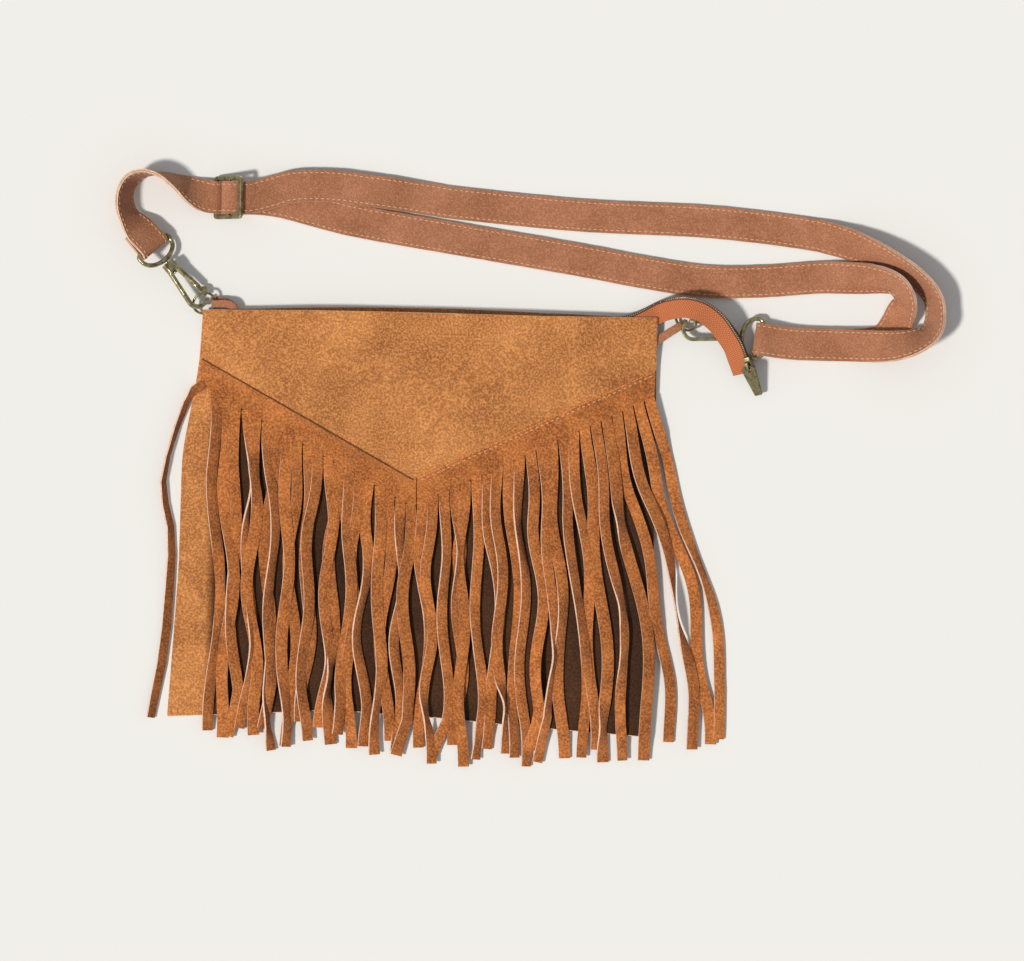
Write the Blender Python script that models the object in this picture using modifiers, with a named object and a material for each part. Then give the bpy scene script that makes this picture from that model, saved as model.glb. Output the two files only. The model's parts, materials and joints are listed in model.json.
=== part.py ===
"""Fringed suede shoulder bag, lying flat on its back with the strap laid out above it.

The bag is a flat pouch of two suede panels. Two fringe panels are sewn over the front one,
their headers meeting in a shallow V. A long zip closes the mouth and runs out past the right
corner as a tail. A flat strap is clipped to a ring at each corner by a swivel snap hook.

Every number below is in millimetres and becomes metres when a mesh is made. The origin is on
the ground under the point of the V, +X runs to the right, +Y to the mouth and +Z upwards.
"""
import math

import bmesh
import bpy
from mathutils import Matrix, Vector

MM = 0.001
CLEAR = 0.3                                  # gap left between two pieces that touch

# Pouch: the four edges as a few points each, so the soft outline stays editable
SUEDE = 1.3                                  # thickness of a panel
LEFT_EDGE = [(-150.5, -130.5), (-147.3, -78), (-144.8, -33), (-144.2, 33), (-134.6, 88), (-132.4, 123.8)]
RIGHT_EDGE = [(151.3, -138.0), (151.6, -60), (151.2, 20), (150.9, 90), (150.8, 124.2)]
BOTTOM_EDGE = [(-150.5, -130.5), (-110, -128.5), (-45.8, -124.6), (20, -128.4), (76, -133), (151.3, -138.0)]
TOP_EDGE = [(-132.4, 123.8), (-60, 124.6), (0, 124.4), (80, 123.6), (150.8, 124.2)]
BACK_EXTRA = 3.2                             # how far the back shows past the front at the mouth
MOUTH_DEPTH = 9.0                            # how far the front stands off the back at the mouth
PANEL_STEPS = (24, 16)                       # facets across and down a panel

# The top left corner rides up on the ring, the top right one makes room for the zip tail
RING_BUMP = (-127.5, 123.5, 4.4, 9.0)        # x, y, height, spread
TAIL_BUMP = (153.0, 118.0, 4.8, 14.0)

# Fringe: a header sewn on in a V, cut into strips below
FRINGE_THICK, FRINGE_LIFT = 1.1, 0.5
V_LEFT, V_POINT, V_RIGHT = (-133.2, 93.1), (0.2, 20.0), (150.0, 91.0)
HEADER_DROP = 15.5                           # height of the uncut header
STRIP_WIDTH = 6.1
STRIP_GAP = 0.55                             # free space seen between two strips
LEFT_STRIPS, RIGHT_STRIPS = 20, 22
LEFT_TIPS = (-124.0, 3.5)                    # x of the first and the last tip
RIGHT_TIPS = (12.0, 197.0)
TIP_Y, TIP_BELLY = -139.0, 14.0              # tips hang lower in the middle of the bag
STRIP_STEPS = 13

# Strap: two layers of suede, stitched along both edges. Each row of a route is x, y, z and
# the lean in degrees from lying flat with the left edge up.
STRAP_WIDTH, STRAP_THICK = 20.0, 2.4

# Zip
TAPE_WIDTH, TAPE_THICK = 11.4, 0.5
CHAIN_WIDTH, CHAIN_THICK = 1.6, 1.0
TAPE_PITCH = 1.6                             # centre to centre of the two tapes in the tail
TAIL_TILT = 25.0                             # degrees the tape leans along its straight end
SLIDER_LENGTH, SLIDER_HALF, STOP_LENGTH = 8.0, 2.6, 2.0
PULL_LENGTH, PULL_TOP, PULL_TIP, PULL_THICK, PULL_DROP = 19.0, 9.6, 5.0, 1.4, 4.0

# Routes of the two tapes: inside the mouth, then over the hook and down to the slider
TAPE_INSIDE = [(-104, 115.0), (-60, 115.4), (0, 115.4), (70, 114.8), (112, 115.0), (132, 117.4), (143, 121.6)]
TAIL_ROUTE = [(153.0, 127.0, 4.6, 0), (159.5, 128.8, 11.0, 0), (167.5, 129.8, 15.6, 0), (177.0, 127.6, 17.2, 0),
              (186.0, 121.4, 15.6, 12), (192.8, 113.6, 12.6, 22)]
TAIL_END, TAIL_HEADING = Vector((204.4, 90.4, 3.7)), Vector((0.36, -0.87, -0.33)).normalized()
TAIL_STRAIGHT = 19.0

# Tabs: a folded strip of suede round each ring, its ends sewn into the corner
TAB_WIDTH, TAB_THICK, TAB_SLACK = 5.0, 1.1, 0.35
LEFT_TAB = [(-111.4, 113.0), (-111.8, 119.4), (-114.0, 126.6, 5.1), (-119.4, 128.4, 5.2)]
RIGHT_TAB = [(142.0, 103.6), (148.0, 107.8), (154.4, 112.4, 3.6), (158.6, 115.2, 3.4)]

# Rings, hooks and buckle
RING_RADIUS, RING_WIRE = 7.2, 0.9
LEFT_RING = (Vector((-131.8, 127.8, 4.9)), Vector((0.45, -0.89, 0)), 33.0)     # middle, low side, tilt
RIGHT_RING = (Vector((168.6, 122.7, 8.0)), Vector((-0.695, -0.719, 0)), 46.0)
LOOP_HALF, LOOP_DEPTH, LOOP_WIRE, LOOP_CORNER = 12.6, 12.0, 1.5, 2.4
HOOK_START, HOOK_LENGTH, HOOK_NECK, HOOK_NOSE = 18.5, 31.5, 3.7, 7.4
HOOK_BAR, HOOK_THICK, BLOCK_THICK = 2.3, 3.4, 5.0
BLOCK_FROM, BLOCK_TO = -4.2, 2.6
STUD_RADIUS, STUD_HEAD = 1.0, 1.5
GATE_THICK, GATE_LENGTH, GATE_HALF = 1.6, 14.7, 1.05     # the length runs from the pivot to the hook's tip
PIN_RADIUS = 0.6
LEFT_HOOK = (Vector((-131.4, 125.9, 7.6)), Vector((0.670, -0.741, -0.035)), 25.0)  # tip, heading, lean
RIGHT_HOOK = (Vector((165.9, 118.2, 7.9)), Vector((-0.992, 0.126, 0.061)), 180.0)
BUCKLE_AT, BUCKLE_PITCH, BUCKLE_HALF, BUCKLE_BAR = Vector((-118.0, 193.8, 7.6)), 9.6, 13.4, 2.5
BUCKLE_RISE = 5.5                            # each bar of the tilted buckle stands this much higher

# Strap routes between its folds
UPPER_RUN = [(-100, 195.0, 7.4, 0), (-90, 198.0, 5.9, 0), (-77, 201.8, 4.8, 0), (-53, 202.4, 4.1, 0),
             (-34, 200.4, 4.1, 0), (-14, 198.2, 3.6, 0), (8, 195.4, 1.6, 0), (30, 192.8, 1.3, 0), (103, 187.1, 1.3, 0),
             (180, 184.8, 1.3, 0), (240, 179.0, 1.3, 0), (262, 174.6, 3.6, 14), (280, 168.6, 7.2, 38),
             (298, 160.2, 9.2, 54), (313, 150.6, 9.8, 62), (322.5, 139.0, 10.0, 64), (323.7, 127.5, 10.2, 62),
             (319.6, 117.4, 14.8, 54), (308.5, 111.2, 16.0, 38), (296, 108.9, 13.0, 20), (283, 108.8, 8.6, 6),
             (268, 109.2, 5.2, 0), (252, 109.4, 4.4, 0), (240, 109.4, 5.0, 0)]
LOWER_RUN = [(240, 109.4, 1.9, 180), (252, 109.3, 1.3, 180), (266, 109.3, 1.3, 180), (281, 110.2, 1.3, 180),
             (291, 112.4, 1.4, 178), (296.6, 117.2, 2.0, 176), (300.2, 123.2, 2.6, 173), (302.4, 128.6, 5.4, 156),
             (304.4, 134.6, 8.8, 136), (304.2, 141.0, 9.6, 120), (299.4, 147.2, 9.4, 122),
             (291.0, 150.2, 7.8, 136), (280, 151.2, 4.9, 156), (266, 151.4, 2.6, 173), (250, 151.2, 1.4, 180),
             (216, 148.2, 1.3, 180), (180, 147.6, 1.3, 180), (142, 152.4, 1.3, 180), (104, 158.9, 1.3, 180),
             (39, 168.9, 1.3, 180), (-5, 175.6, 1.3, 180), (-41, 181.6, 1.3, 180), (-64.8, 187.2, 1.3, 180),
             (-84, 192.0, 1.3, 180), (-100, 193.8, 1.3, 180), (-113, 193.8, 1.3, 180), (-118.6, 193.8, 1.4, 180),
             (-122.2, 193.8, 3.4, 180), (-125.4, 193.8, 5.5, 180), (-131, 194.2, 6.2, 186), (-140, 197.4, 7.4, 214),
             (-149.5, 202.4, 9.2, 242), (-160.5, 207.2, 10.2, 262), (-170.5, 207.8, 10.4, 276),
             (-178.6, 203.4, 10.2, 287), (-182.6, 194.5, 10.2, 292), (-181.4, 183.6, 10.4, 300)]


def add_material(name, colour, rough, metal=0.0):
    """Make a plain Principled material in the piece's own colour."""
    material = bpy.data.materials.new(name)
    material.use_nodes = True
    shader = material.node_tree.nodes["Principled BSDF"]
    shader.inputs["Base Color"].default_value = (*colour, 1.0)
    shader.inputs["Roughness"].default_value = rough
    shader.inputs["Metallic"].default_value = metal
    material.diffuse_color = (*colour, 1.0)
    return material


def finish_object(obj, material, collection, smooth=True):
    """Give the object its material and collection, and soften its round faces."""
    obj.data.materials.clear()
    obj.data.materials.append(material)
    for other in list(obj.users_collection):
        other.objects.unlink(obj)
    collection.objects.link(obj)
    if smooth and obj.type == "MESH":
        obj.data.shade_smooth()
        obj.data.set_sharp_from_angle(angle=math.radians(35))
    return obj


def mesh_object(name, points, faces):
    """Turn points in millimetres and their faces into an object in metres."""
    mesh = bpy.data.meshes.new(name)
    mesh.from_pydata([Vector(p) * MM for p in points], [], faces)
    mesh.validate()
    obj = bpy.data.objects.new(name, mesh)
    bpy.context.scene.collection.objects.link(obj)
    return obj


def thicken(obj, thickness):
    """Give an open sheet its thickness, half to each side."""
    solid = obj.modifiers.new("Thickness", "SOLIDIFY")
    solid.thickness = thickness * MM
    solid.offset = 0.0
    solid.use_even_offset = False
    return obj


def mix(a, b, t):
    return a + (b - a) * t


def smooth_step(t):
    t = min(1.0, max(0.0, t))
    return t * t * (3 - 2 * t)


def read_edge(edge, value, axis):
    """Read an edge's other coordinate where its x (axis 0) or y (axis 1) has the value."""
    for (first, second) in zip(edge, edge[1:]):
        if value <= second[axis] or second is edge[-1]:
            t = (value - first[axis]) / (second[axis] - first[axis])
            return mix(first[1 - axis], second[1 - axis], min(1.0, max(0.0, t)))


def bump(place, x, y):
    cx, cy, height, spread = place
    return height * math.exp(-((x - cx) ** 2 + (y - cy) ** 2) / (2 * spread ** 2))


def back_height(x, y):
    """Underside of the back panel: flat, apart from the corner that lies on the ring."""
    return bump(RING_BUMP, x, y)


def room_inside(x, y):
    """Free height between the panels: nothing at the seams, most at the mouth."""
    left, right = read_edge(LEFT_EDGE, y, 1), read_edge(RIGHT_EDGE, y, 1)
    low, high = read_edge(BOTTOM_EDGE, x, 0), read_edge(TOP_EDGE, x, 0)
    u = min(1.0, max(0.0, (x - left) / (right - left)))
    v = min(1.0, max(0.0, (y - low) / (high - low)))
    across = 1 - (2 * u - 1) ** 4
    along = (1 - (1 - v) ** 5) * (0.55 + 0.45 * v)
    return CLEAR + MOUTH_DEPTH * across * along + bump(TAIL_BUMP, x, y)


def between(x, y):
    """Height half-way between the two panels."""
    return back_height(x, y) + SUEDE + room_inside(x, y) / 2


def front_top(x, y):
    """Upper face of the front panel, which the fringe lies on."""
    return back_height(x, y) + 2 * SUEDE + room_inside(x, y)


def panel_point(u, v, extra):
    """Place a point on the pouch outline: u runs left to right and v bottom to top."""
    def along(edge, axis, t):
        value = mix(edge[0][axis], edge[-1][axis], t)
        other = read_edge(edge, value, axis)
        return Vector((value, other)) if axis == 0 else Vector((other, value))

    bottom, top = along(BOTTOM_EDGE, 0, u), along(TOP_EDGE, 0, u)
    left, right = along(LEFT_EDGE, 1, v), along(RIGHT_EDGE, 1, v)
    corners = [Vector(BOTTOM_EDGE[0]), Vector(BOTTOM_EDGE[-1]), Vector(TOP_EDGE[0]), Vector(TOP_EDGE[-1])]
    ruled = mix(mix(corners[0], corners[1], u), mix(corners[2], corners[3], u), v)
    point = mix(bottom, top, v) + mix(left, right, u) - ruled
    point.y += extra * math.sin(math.pi * u) * smooth_step((v - 0.9) / 0.1)
    return point


def build_panel(name, height, extra):
    """Build one suede panel as a grid over the outline, then give it its thickness."""
    across, down = PANEL_STEPS
    points = []
    for row in range(down + 1):
        v = 1 - (1 - row / down) ** 1.25
        for column in range(across + 1):
            u = 0.5 - 0.5 * math.cos(math.pi * column / across)
            u = mix(u, column / across, 0.45)
            x, y = panel_point(u, v, extra)
            points.append((x, y, height(x, y)))
    faces = []
    for row in range(down):
        for column in range(across):
            a = row * (across + 1) + column
            faces.append((a, a + 1, a + across + 2, a + across + 1))
    return thicken(mesh_object(name, points, faces), SUEDE)


def v_line(x):
    """Height of the V on the bag's front at x."""
    if x < V_POINT[0]:
        return mix(V_POINT[1], V_LEFT[1], (V_POINT[0] - x) / (V_POINT[0] - V_LEFT[0]))
    return mix(V_POINT[1], V_RIGHT[1], (x - V_POINT[0]) / (V_RIGHT[0] - V_POINT[0]))


def fringe_height(x, y):
    """Middle of a fringe sheet lying on the bag, sinking to the ground beyond its edges."""
    low = read_edge(BOTTOM_EDGE, x, 0)
    outside = max(low - y, x - read_edge(RIGHT_EDGE, y, 1), read_edge(LEFT_EDGE, y, 1) - x)
    on_bag = front_top(x, y) + FRINGE_LIFT + FRINGE_THICK / 2
    return mix(on_bag, FRINGE_THICK / 2 + 0.4, smooth_step((outside - 4) / 20))


def strip_route(root_x, tip_x, sway, order):
    """List the centre line of one strip from the header's lower edge to its tip."""
    root_y = v_line(root_x) - HEADER_DROP
    middle = math.sin(math.pi * (tip_x + 124) / 321)
    tip_y = TIP_Y - TIP_BELLY * middle + 4.0 * math.sin(2.4 * order)
    route = []
    for step in range(STRIP_STEPS + 1):
        t = step / STRIP_STEPS
        x = mix(root_x, tip_x, smooth_step(t) * 0.45 + t * 0.55) + sway * math.sin(math.pi * t) * t
        route.append((x, mix(root_y, tip_y, t)))
    return route


def build_fringe(name, start_x, end_x, count, tips, sway, far_strip=None):
    """Build a header and its strips as one sheet, each strip turned so that its left edge lifts."""
    pitch = (end_x - start_x) / count
    routes = []
    for index in range(count):
        root_x = start_x + pitch * (index + 0.5)
        tip_x = mix(tips[0], tips[1], index / (count - 1)) + 1.1 * math.sin(1.9 * index)
        routes.append(strip_route(root_x, tip_x, sway, index))
    if far_strip:
        routes[far_strip[0]] = far_strip[1]

    points, faces = [], []
    for row in range(3):
        for index in range(count + 1):
            x = start_x + pitch * index
            y = v_line(x) - HEADER_DROP * row / 2
            points.append((x, y, fringe_height(x, y)))
    for row in range(2):
        for index in range(count):
            a = row * (count + 1) + index
            faces.append((a, a + 1, a + count + 2, a + count + 1))

    for index, route in enumerate(routes):
        left_id = 2 * (count + 1) + index
        right_id = left_id + 1
        special = bool(far_strip) and index == far_strip[0]
        for step in range(1, len(route)):
            t = step / (len(route) - 1)
            x, y = route[step]
            ahead = Vector(route[min(step + 1, len(route) - 1)]) - Vector(route[step - 1])
            side = Vector((-ahead.y, ahead.x)).normalized()
            spaces = []
            for other in (index - 1, index + 1):
                if 0 <= other < count and not special and not (far_strip and other == far_strip[0]):
                    spaces.append(abs(routes[other][min(step, STRIP_STEPS)][0] - x) * abs(side.x))
            free = min(spaces + [pitch + 2]) - STRIP_GAP - 0.6 * FRINGE_THICK
            width = STRIP_WIDTH * (1 - 0.06 * t)
            turn = math.acos(min(0.995, free / width)) if free < width else 0.1
            lean = 0.24 + 0.16 * math.sin(1.3 * index + 5 * t)
            roll = max(turn, lean * smooth_step(t * 3)) if not special else far_strip[2] * smooth_step(t * 4)
            half = width / 2
            lowest = max(fringe_height(x + side.x * half * math.cos(roll) * k, y) for k in (-1, 0, 1))
            z = lowest + half * math.sin(roll)
            reach = Vector((side.x * math.cos(roll), side.y * math.cos(roll), -math.sin(roll))) * half
            centre = Vector((x, y, z))
            points += [centre - reach, centre + reach]
            faces.append((left_id, right_id, len(points) - 1, len(points) - 2))
            left_id, right_id = len(points) - 2, len(points) - 1
    return thicken(mesh_object(name, points, faces), FRINGE_THICK)


def spline_through(points, spacing):
    """Run a smooth curve through rows of numbers, with a row about every so many millimetres."""
    rows = [Vector(p) for p in points]
    rows = [rows[0] * 2 - rows[1]] + rows + [rows[-1] * 2 - rows[-2]]
    result = []
    for a, b, c, d in zip(rows, rows[1:], rows[2:], rows[3:]):
        steps = max(2, round((c - b).length / spacing))
        for step in range(steps):
            t = step / steps
            result.append(0.5 * (2 * b + (c - a) * t + (2 * a - 5 * b + 4 * c - d) * t * t
                                 + (3 * b - a - 3 * c + d) * t ** 3))
    return result + [rows[-2]]


def build_ribbon(name, frames, width, thickness):
    """Build a band from frames of a middle point and a unit vector towards one edge."""
    points, faces = [], []
    for middle, side in frames:
        points += [middle - side * width / 2, middle + side * width / 2]
    for a in range(0, len(points) - 2, 2):
        faces.append((a, a + 1, a + 3, a + 2))
    return thicken(mesh_object(name, points, faces), thickness)


def turned_side(ahead, degrees):
    """Vector to a band's left edge, leaned up by the angle, at right angles to its route."""
    left = Vector((-ahead.y, ahead.x, 0)).normalized()
    up = left.cross(ahead).normalized() * -1
    angle = math.radians(degrees)
    return (left * math.cos(angle) + up * math.sin(angle)).normalized()


def fold_round(bar, side, ahead, start_up, reach, turn=STRAP_THICK / 2 + LOOP_WIRE + CLEAR):
    """Frames of a strap that comes in along ahead, turns round a bar and goes back."""
    up = ahead.cross(side) * start_up
    up = up if start_up * up.z > 0 else -up
    frames = []
    for distance in (reach, reach * 0.45):
        spread = mix(turn, STRAP_THICK / 2 + CLEAR, smooth_step(distance / reach))
        frames.append((bar - ahead * distance + up * spread, side))
    for step in range(9):
        angle = math.pi * step / 8
        frames.append((bar + (up * math.cos(angle) + ahead * math.sin(angle)) * turn, side))
    for middle, _ in (frames[1], frames[0]):
        offset = (middle - bar).dot(up)
        frames.append((middle - up * offset * 2, side))
    return frames


def run_frames(route, spacing=8.0, on_ground=True):
    """Frames of a band along a route whose rows hold x, y, z and lean, kept above the ground if it is a strap."""
    rows = spline_through(route, spacing)
    frames = []
    for index, row in enumerate(rows):
        ahead = rows[min(index + 1, len(rows) - 1)] - rows[max(index - 1, 0)]
        lean = math.radians(row[3])
        lowest = STRAP_WIDTH / 2 * abs(math.sin(lean)) + STRAP_THICK / 2 * abs(math.cos(lean)) + 0.08
        middle = Vector((row[0], row[1], max(row[2], lowest) if on_ground else row[2]))
        frames.append((middle, turned_side(Vector(ahead[:3]).normalized(), row[3])))
    return frames


def hook_axes(hook):
    """Axes of a hook: ahead to its tip, across to its gate and up, and the middle of its loop's bar."""
    tip, ahead, lean = hook
    ahead = ahead.normalized()
    across = turned_side(ahead, -lean)
    bar = tip - ahead * (HOOK_START + HOOK_LENGTH)
    return bar, ahead, across, ahead.cross(across)


def placed(obj, origin, x_axis, y_axis, z_axis):
    """Put an object's origin at a point, with its own axes along the three given ones."""
    rotation = Matrix((x_axis, y_axis, z_axis)).transposed().to_4x4()
    obj.matrix_world = Matrix.Translation(origin * MM) @ rotation
    return obj


def cut_outline(name, outlines, thickness):
    """Extrude flat closed outlines to both sides of their plane; an outline inside another is a hole."""
    curve = bpy.data.curves.new(name, "CURVE")
    curve.dimensions = "2D"
    curve.fill_mode = "BOTH"
    curve.extrude = thickness / 2 * MM
    for outline in outlines:
        spline = curve.splines.new("POLY")
        spline.points.add(len(outline) - 1)
        for point, (x, y) in zip(spline.points, outline):
            point.co = (x * MM, y * MM, 0, 1)
        spline.use_cyclic_u = True
    return curve_to_mesh(name, curve)


def wire_loop(name, points, radius, sides=2):
    """Bend a closed wire through points."""
    curve = bpy.data.curves.new(name, "CURVE")
    curve.dimensions = "3D"
    curve.bevel_depth = radius * MM
    curve.bevel_resolution = sides
    spline = curve.splines.new("POLY")
    spline.points.add(len(points) - 1)
    for point, place in zip(spline.points, points):
        point.co = (place[0] * MM, place[1] * MM, place[2] * MM, 1)
    spline.use_cyclic_u = True
    return curve_to_mesh(name, curve)


def curve_to_mesh(name, curve):
    """Make the curve a mesh with welded caps, so that it can be cut and joined."""
    guide = bpy.data.objects.new(name + "_guide", curve)
    bpy.context.scene.collection.objects.link(guide)
    bpy.context.view_layer.update()
    graph = bpy.context.evaluated_depsgraph_get()
    mesh = bpy.data.meshes.new_from_object(guide.evaluated_get(graph))
    bpy.data.objects.remove(guide)
    welded = bmesh.new()
    welded.from_mesh(mesh)
    bmesh.ops.remove_doubles(welded, verts=welded.verts, dist=0.00001)
    bmesh.ops.recalc_face_normals(welded, faces=welded.faces)
    welded.to_mesh(mesh)
    welded.free()
    obj = bpy.data.objects.new(name, mesh)
    bpy.context.scene.collection.objects.link(obj)
    return obj


def box(name, size, middle):
    """Make a box of the size, its middle at a point of its own frame."""
    built = bmesh.new()
    bmesh.ops.create_cube(built, size=1.0)
    for vertex in built.verts:
        for axis in range(3):
            vertex.co[axis] = (vertex.co[axis] * size[axis] + middle[axis]) * MM
    mesh = bpy.data.meshes.new(name)
    built.to_mesh(mesh)
    built.free()
    obj = bpy.data.objects.new(name, mesh)
    bpy.context.scene.collection.objects.link(obj)
    return obj


def rod(name, radius, start, end, axis="Z", sides=14, turn=0.0):
    """Make a round rod from start to end along its own Z or X, its facets turned a little if asked."""
    built = bmesh.new()
    bmesh.ops.create_cone(built, cap_ends=True, segments=sides, radius1=radius * MM, radius2=radius * MM,
                          depth=(end - start) * MM)
    bmesh.ops.translate(built, verts=built.verts, vec=(0, 0, (start + end) / 2 * MM))
    bmesh.ops.rotate(built, verts=built.verts, cent=(0, 0, 0), matrix=Matrix.Rotation(turn, 3, "Z"))
    if axis == "X":
        bmesh.ops.rotate(built, verts=built.verts, cent=(0, 0, 0), matrix=Matrix.Rotation(math.pi / 2, 3, "Y"))
    mesh = bpy.data.meshes.new(name)
    built.to_mesh(mesh)
    built.free()
    obj = bpy.data.objects.new(name, mesh)
    bpy.context.scene.collection.objects.link(obj)
    return obj


def combine(obj, other, operation, helpers, place=(0, 0, 0)):
    """Cut or join the other piece into this one and keep it as a wire guide."""
    other.parent = obj
    other.location = Vector(place) * MM
    finish_helper(other, helpers)
    boolean = obj.modifiers.new(operation.title(), "BOOLEAN")
    boolean.operation = operation
    boolean.solver = "EXACT"
    boolean.object = other


def finish_helper(obj, helpers):
    for collection in list(obj.users_collection):
        collection.objects.unlink(obj)
    helpers.objects.link(obj)
    obj.hide_render = True
    obj.display_type = "WIRE"


def flat_faces(obj):
    """Weld what the cuts left and split the flat faces while the piece still lies square to its axes."""
    weld = obj.modifiers.new("Weld", "WELD")
    weld.merge_threshold = 0.00002
    obj.modifiers.new("Triangles", "TRIANGULATE")


def loop_points():
    """Round-cornered D: a straight bar for the strap and an arch that the stud stands on."""
    corner = LOOP_CORNER
    points = [(0, y, 0) for y in (-LOOP_HALF + corner, 0, LOOP_HALF - corner)]
    for step in range(1, 5):
        angle = math.pi / 2 * step / 4
        points.append((corner * (1 - math.cos(angle)), LOOP_HALF - corner + corner * math.sin(angle), 0))
    rise = LOOP_DEPTH - corner
    for step in range(1, 15):
        angle = math.pi * step / 14
        points.append((corner + rise * math.sin(angle) ** 0.8, LOOP_HALF * math.cos(angle), 0))
    for step in range(4, 0, -1):
        angle = math.pi / 2 * step / 4
        points.append((corner * (1 - math.cos(angle)), -LOOP_HALF + corner - corner * math.sin(angle), 0))
    return points[:-5] + points[-4:]


def half(u):
    """Half width of the hook's frame at a distance from its neck."""
    return mix(HOOK_NECK, HOOK_NOSE, u / (HOOK_LENGTH - HOOK_NOSE))


def gate_pivot():
    """Place of the gate's pin: the middle of the short arm."""
    back = HOOK_LENGTH - GATE_LENGTH
    return back, half(back) - HOOK_BAR / 2


def frame_outline():
    """Outline of the hook's frame: a long arm, the nose and a short arm with a gap between them."""
    middle = HOOK_LENGTH - HOOK_NOSE
    inner = HOOK_NOSE - HOOK_BAR

    outer_arc, inner_arc = [], []
    for step in range(13):
        outer, angle = math.radians(50 - 140 * step / 12), math.radians(40 - 130 * step / 12)
        outer_arc.append((middle + HOOK_NOSE * math.cos(outer), HOOK_NOSE * math.sin(outer)))
        inner_arc.append((middle + inner * math.cos(angle), inner * math.sin(angle)))
    arm_end = gate_pivot()[0] + 2.7
    outside = outer_arc + [(0, -HOOK_NECK), (0, HOOK_NECK), (arm_end, half(arm_end))]
    top = BLOCK_TO - 0.5
    inside = [(arm_end, half(arm_end) - HOOK_BAR), (top, half(top) - HOOK_BAR), (top, HOOK_BAR - half(top))]
    return outside + inside + inner_arc[::-1]


def gate_outline():
    """Outline of the gate from its pivot: an eye, a bar that meets the nose and a thumb lug."""
    eye = 1.5
    reach = HOOK_LENGTH - HOOK_NOSE - gate_pivot()[0]
    points = []
    for step in range(9):
        angle = math.radians(90 + 180 * step / 8)
        points.append((eye * math.cos(angle), eye * math.sin(angle)))
    points += [(4.0, -GATE_HALF), (reach + 2.3, -GATE_HALF - 0.15), (reach + 3.0, 0.35)]
    for step in range(7):
        angle = math.radians(180 * step / 6)
        points.append((6.4 + 2.3 * math.cos(angle), 1.5 + 2.3 * math.sin(angle)))
    return points


def circle(radius, sides=12):
    return [(radius * math.cos(2 * math.pi * k / sides), radius * math.sin(2 * math.pi * k / sides))
            for k in range(sides)]


def build_hook(prefix, hook, brass, parts, helpers):
    """Build one swivel snap hook: strap loop with its stud, slotted frame, gate and pin."""
    bar, ahead, across, up = hook_axes(hook)
    start = bar + ahead * HOOK_START

    loop = wire_loop(prefix + "_loop", loop_points(), LOOP_WIRE)
    head = HOOK_START + BLOCK_TO + CLEAR
    stud = rod(prefix + "_stud", STUD_RADIUS, LOOP_DEPTH - 0.4, head + 0.5, "X", turn=0.2)
    combine(loop, stud, "UNION", helpers)
    combine(loop, rod(prefix + "_stud_head", STUD_HEAD, head, head + 1.2, "X", turn=0.1), "UNION", helpers)
    flat_faces(loop)
    placed(loop, bar, ahead, across, up)
    finish_object(loop, brass, parts)

    body = cut_outline(prefix + "_body", [frame_outline()], HOOK_THICK)
    block = box(prefix + "_block", (BLOCK_TO - BLOCK_FROM, 2 * HOOK_NECK - 0.2, BLOCK_THICK),
                ((BLOCK_TO + BLOCK_FROM) / 2, 0, 0))
    combine(body, block, "UNION", helpers)
    combine(body, rod(prefix + "_bore", STUD_RADIUS + CLEAR, BLOCK_FROM - 2, BLOCK_TO + 1, "X", turn=0.2),
            "DIFFERENCE", helpers)
    pivot = (*gate_pivot(), 0)
    slot = box(prefix + "_slot", (5.2, 7, GATE_THICK + 2 * CLEAR), (0.75, 0, 0))
    combine(body, slot, "DIFFERENCE", helpers, pivot)
    combine(body, rod(prefix + "_pin_hole", PIN_RADIUS + CLEAR, -4, 4, turn=0.13), "DIFFERENCE", helpers, pivot)
    flat_faces(body)
    placed(body, start, ahead, across, up)
    finish_object(body, brass, parts)

    at_pivot = start + ahead * pivot[0] + across * pivot[1]
    gate = cut_outline(prefix + "_gate", [gate_outline(), circle(PIN_RADIUS + CLEAR)], GATE_THICK)
    placed(gate, at_pivot, ahead, across, up)
    finish_object(gate, brass, parts)
    pin = rod(prefix + "_gate_pin", PIN_RADIUS, -HOOK_THICK / 2, HOOK_THICK / 2, sides=12)
    placed(pin, at_pivot, ahead, across, up)
    finish_object(pin, brass, parts)


def ring_frame(ring, towards):
    """Point of the ring's wire in a direction on the ground, its heading there and the plane's normal."""
    middle, low, tilt = ring
    low = low.normalized()
    tilt = math.radians(tilt)
    normal = low * math.sin(tilt) + Vector((0, 0, 1)) * math.cos(tilt)
    reach = towards - normal * towards.dot(normal)
    reach.normalize()
    return middle + reach * RING_RADIUS, normal.cross(reach), normal, reach


def build_ring(name, ring, towards, brass, parts):
    """Build a ring whose origin is where its tab holds it, with its own Z along its wire there."""
    held, along, normal, reach = ring_frame(ring, towards)
    points = []
    for step in range(36):
        angle = 2 * math.pi * step / 36
        points.append((RING_RADIUS * (math.cos(angle) - 1), RING_RADIUS * math.sin(angle), 0))
    obj = wire_loop(name, points, RING_WIRE, 1)
    placed(obj, held, reach, along, normal)
    return finish_object(obj, brass, parts)


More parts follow.
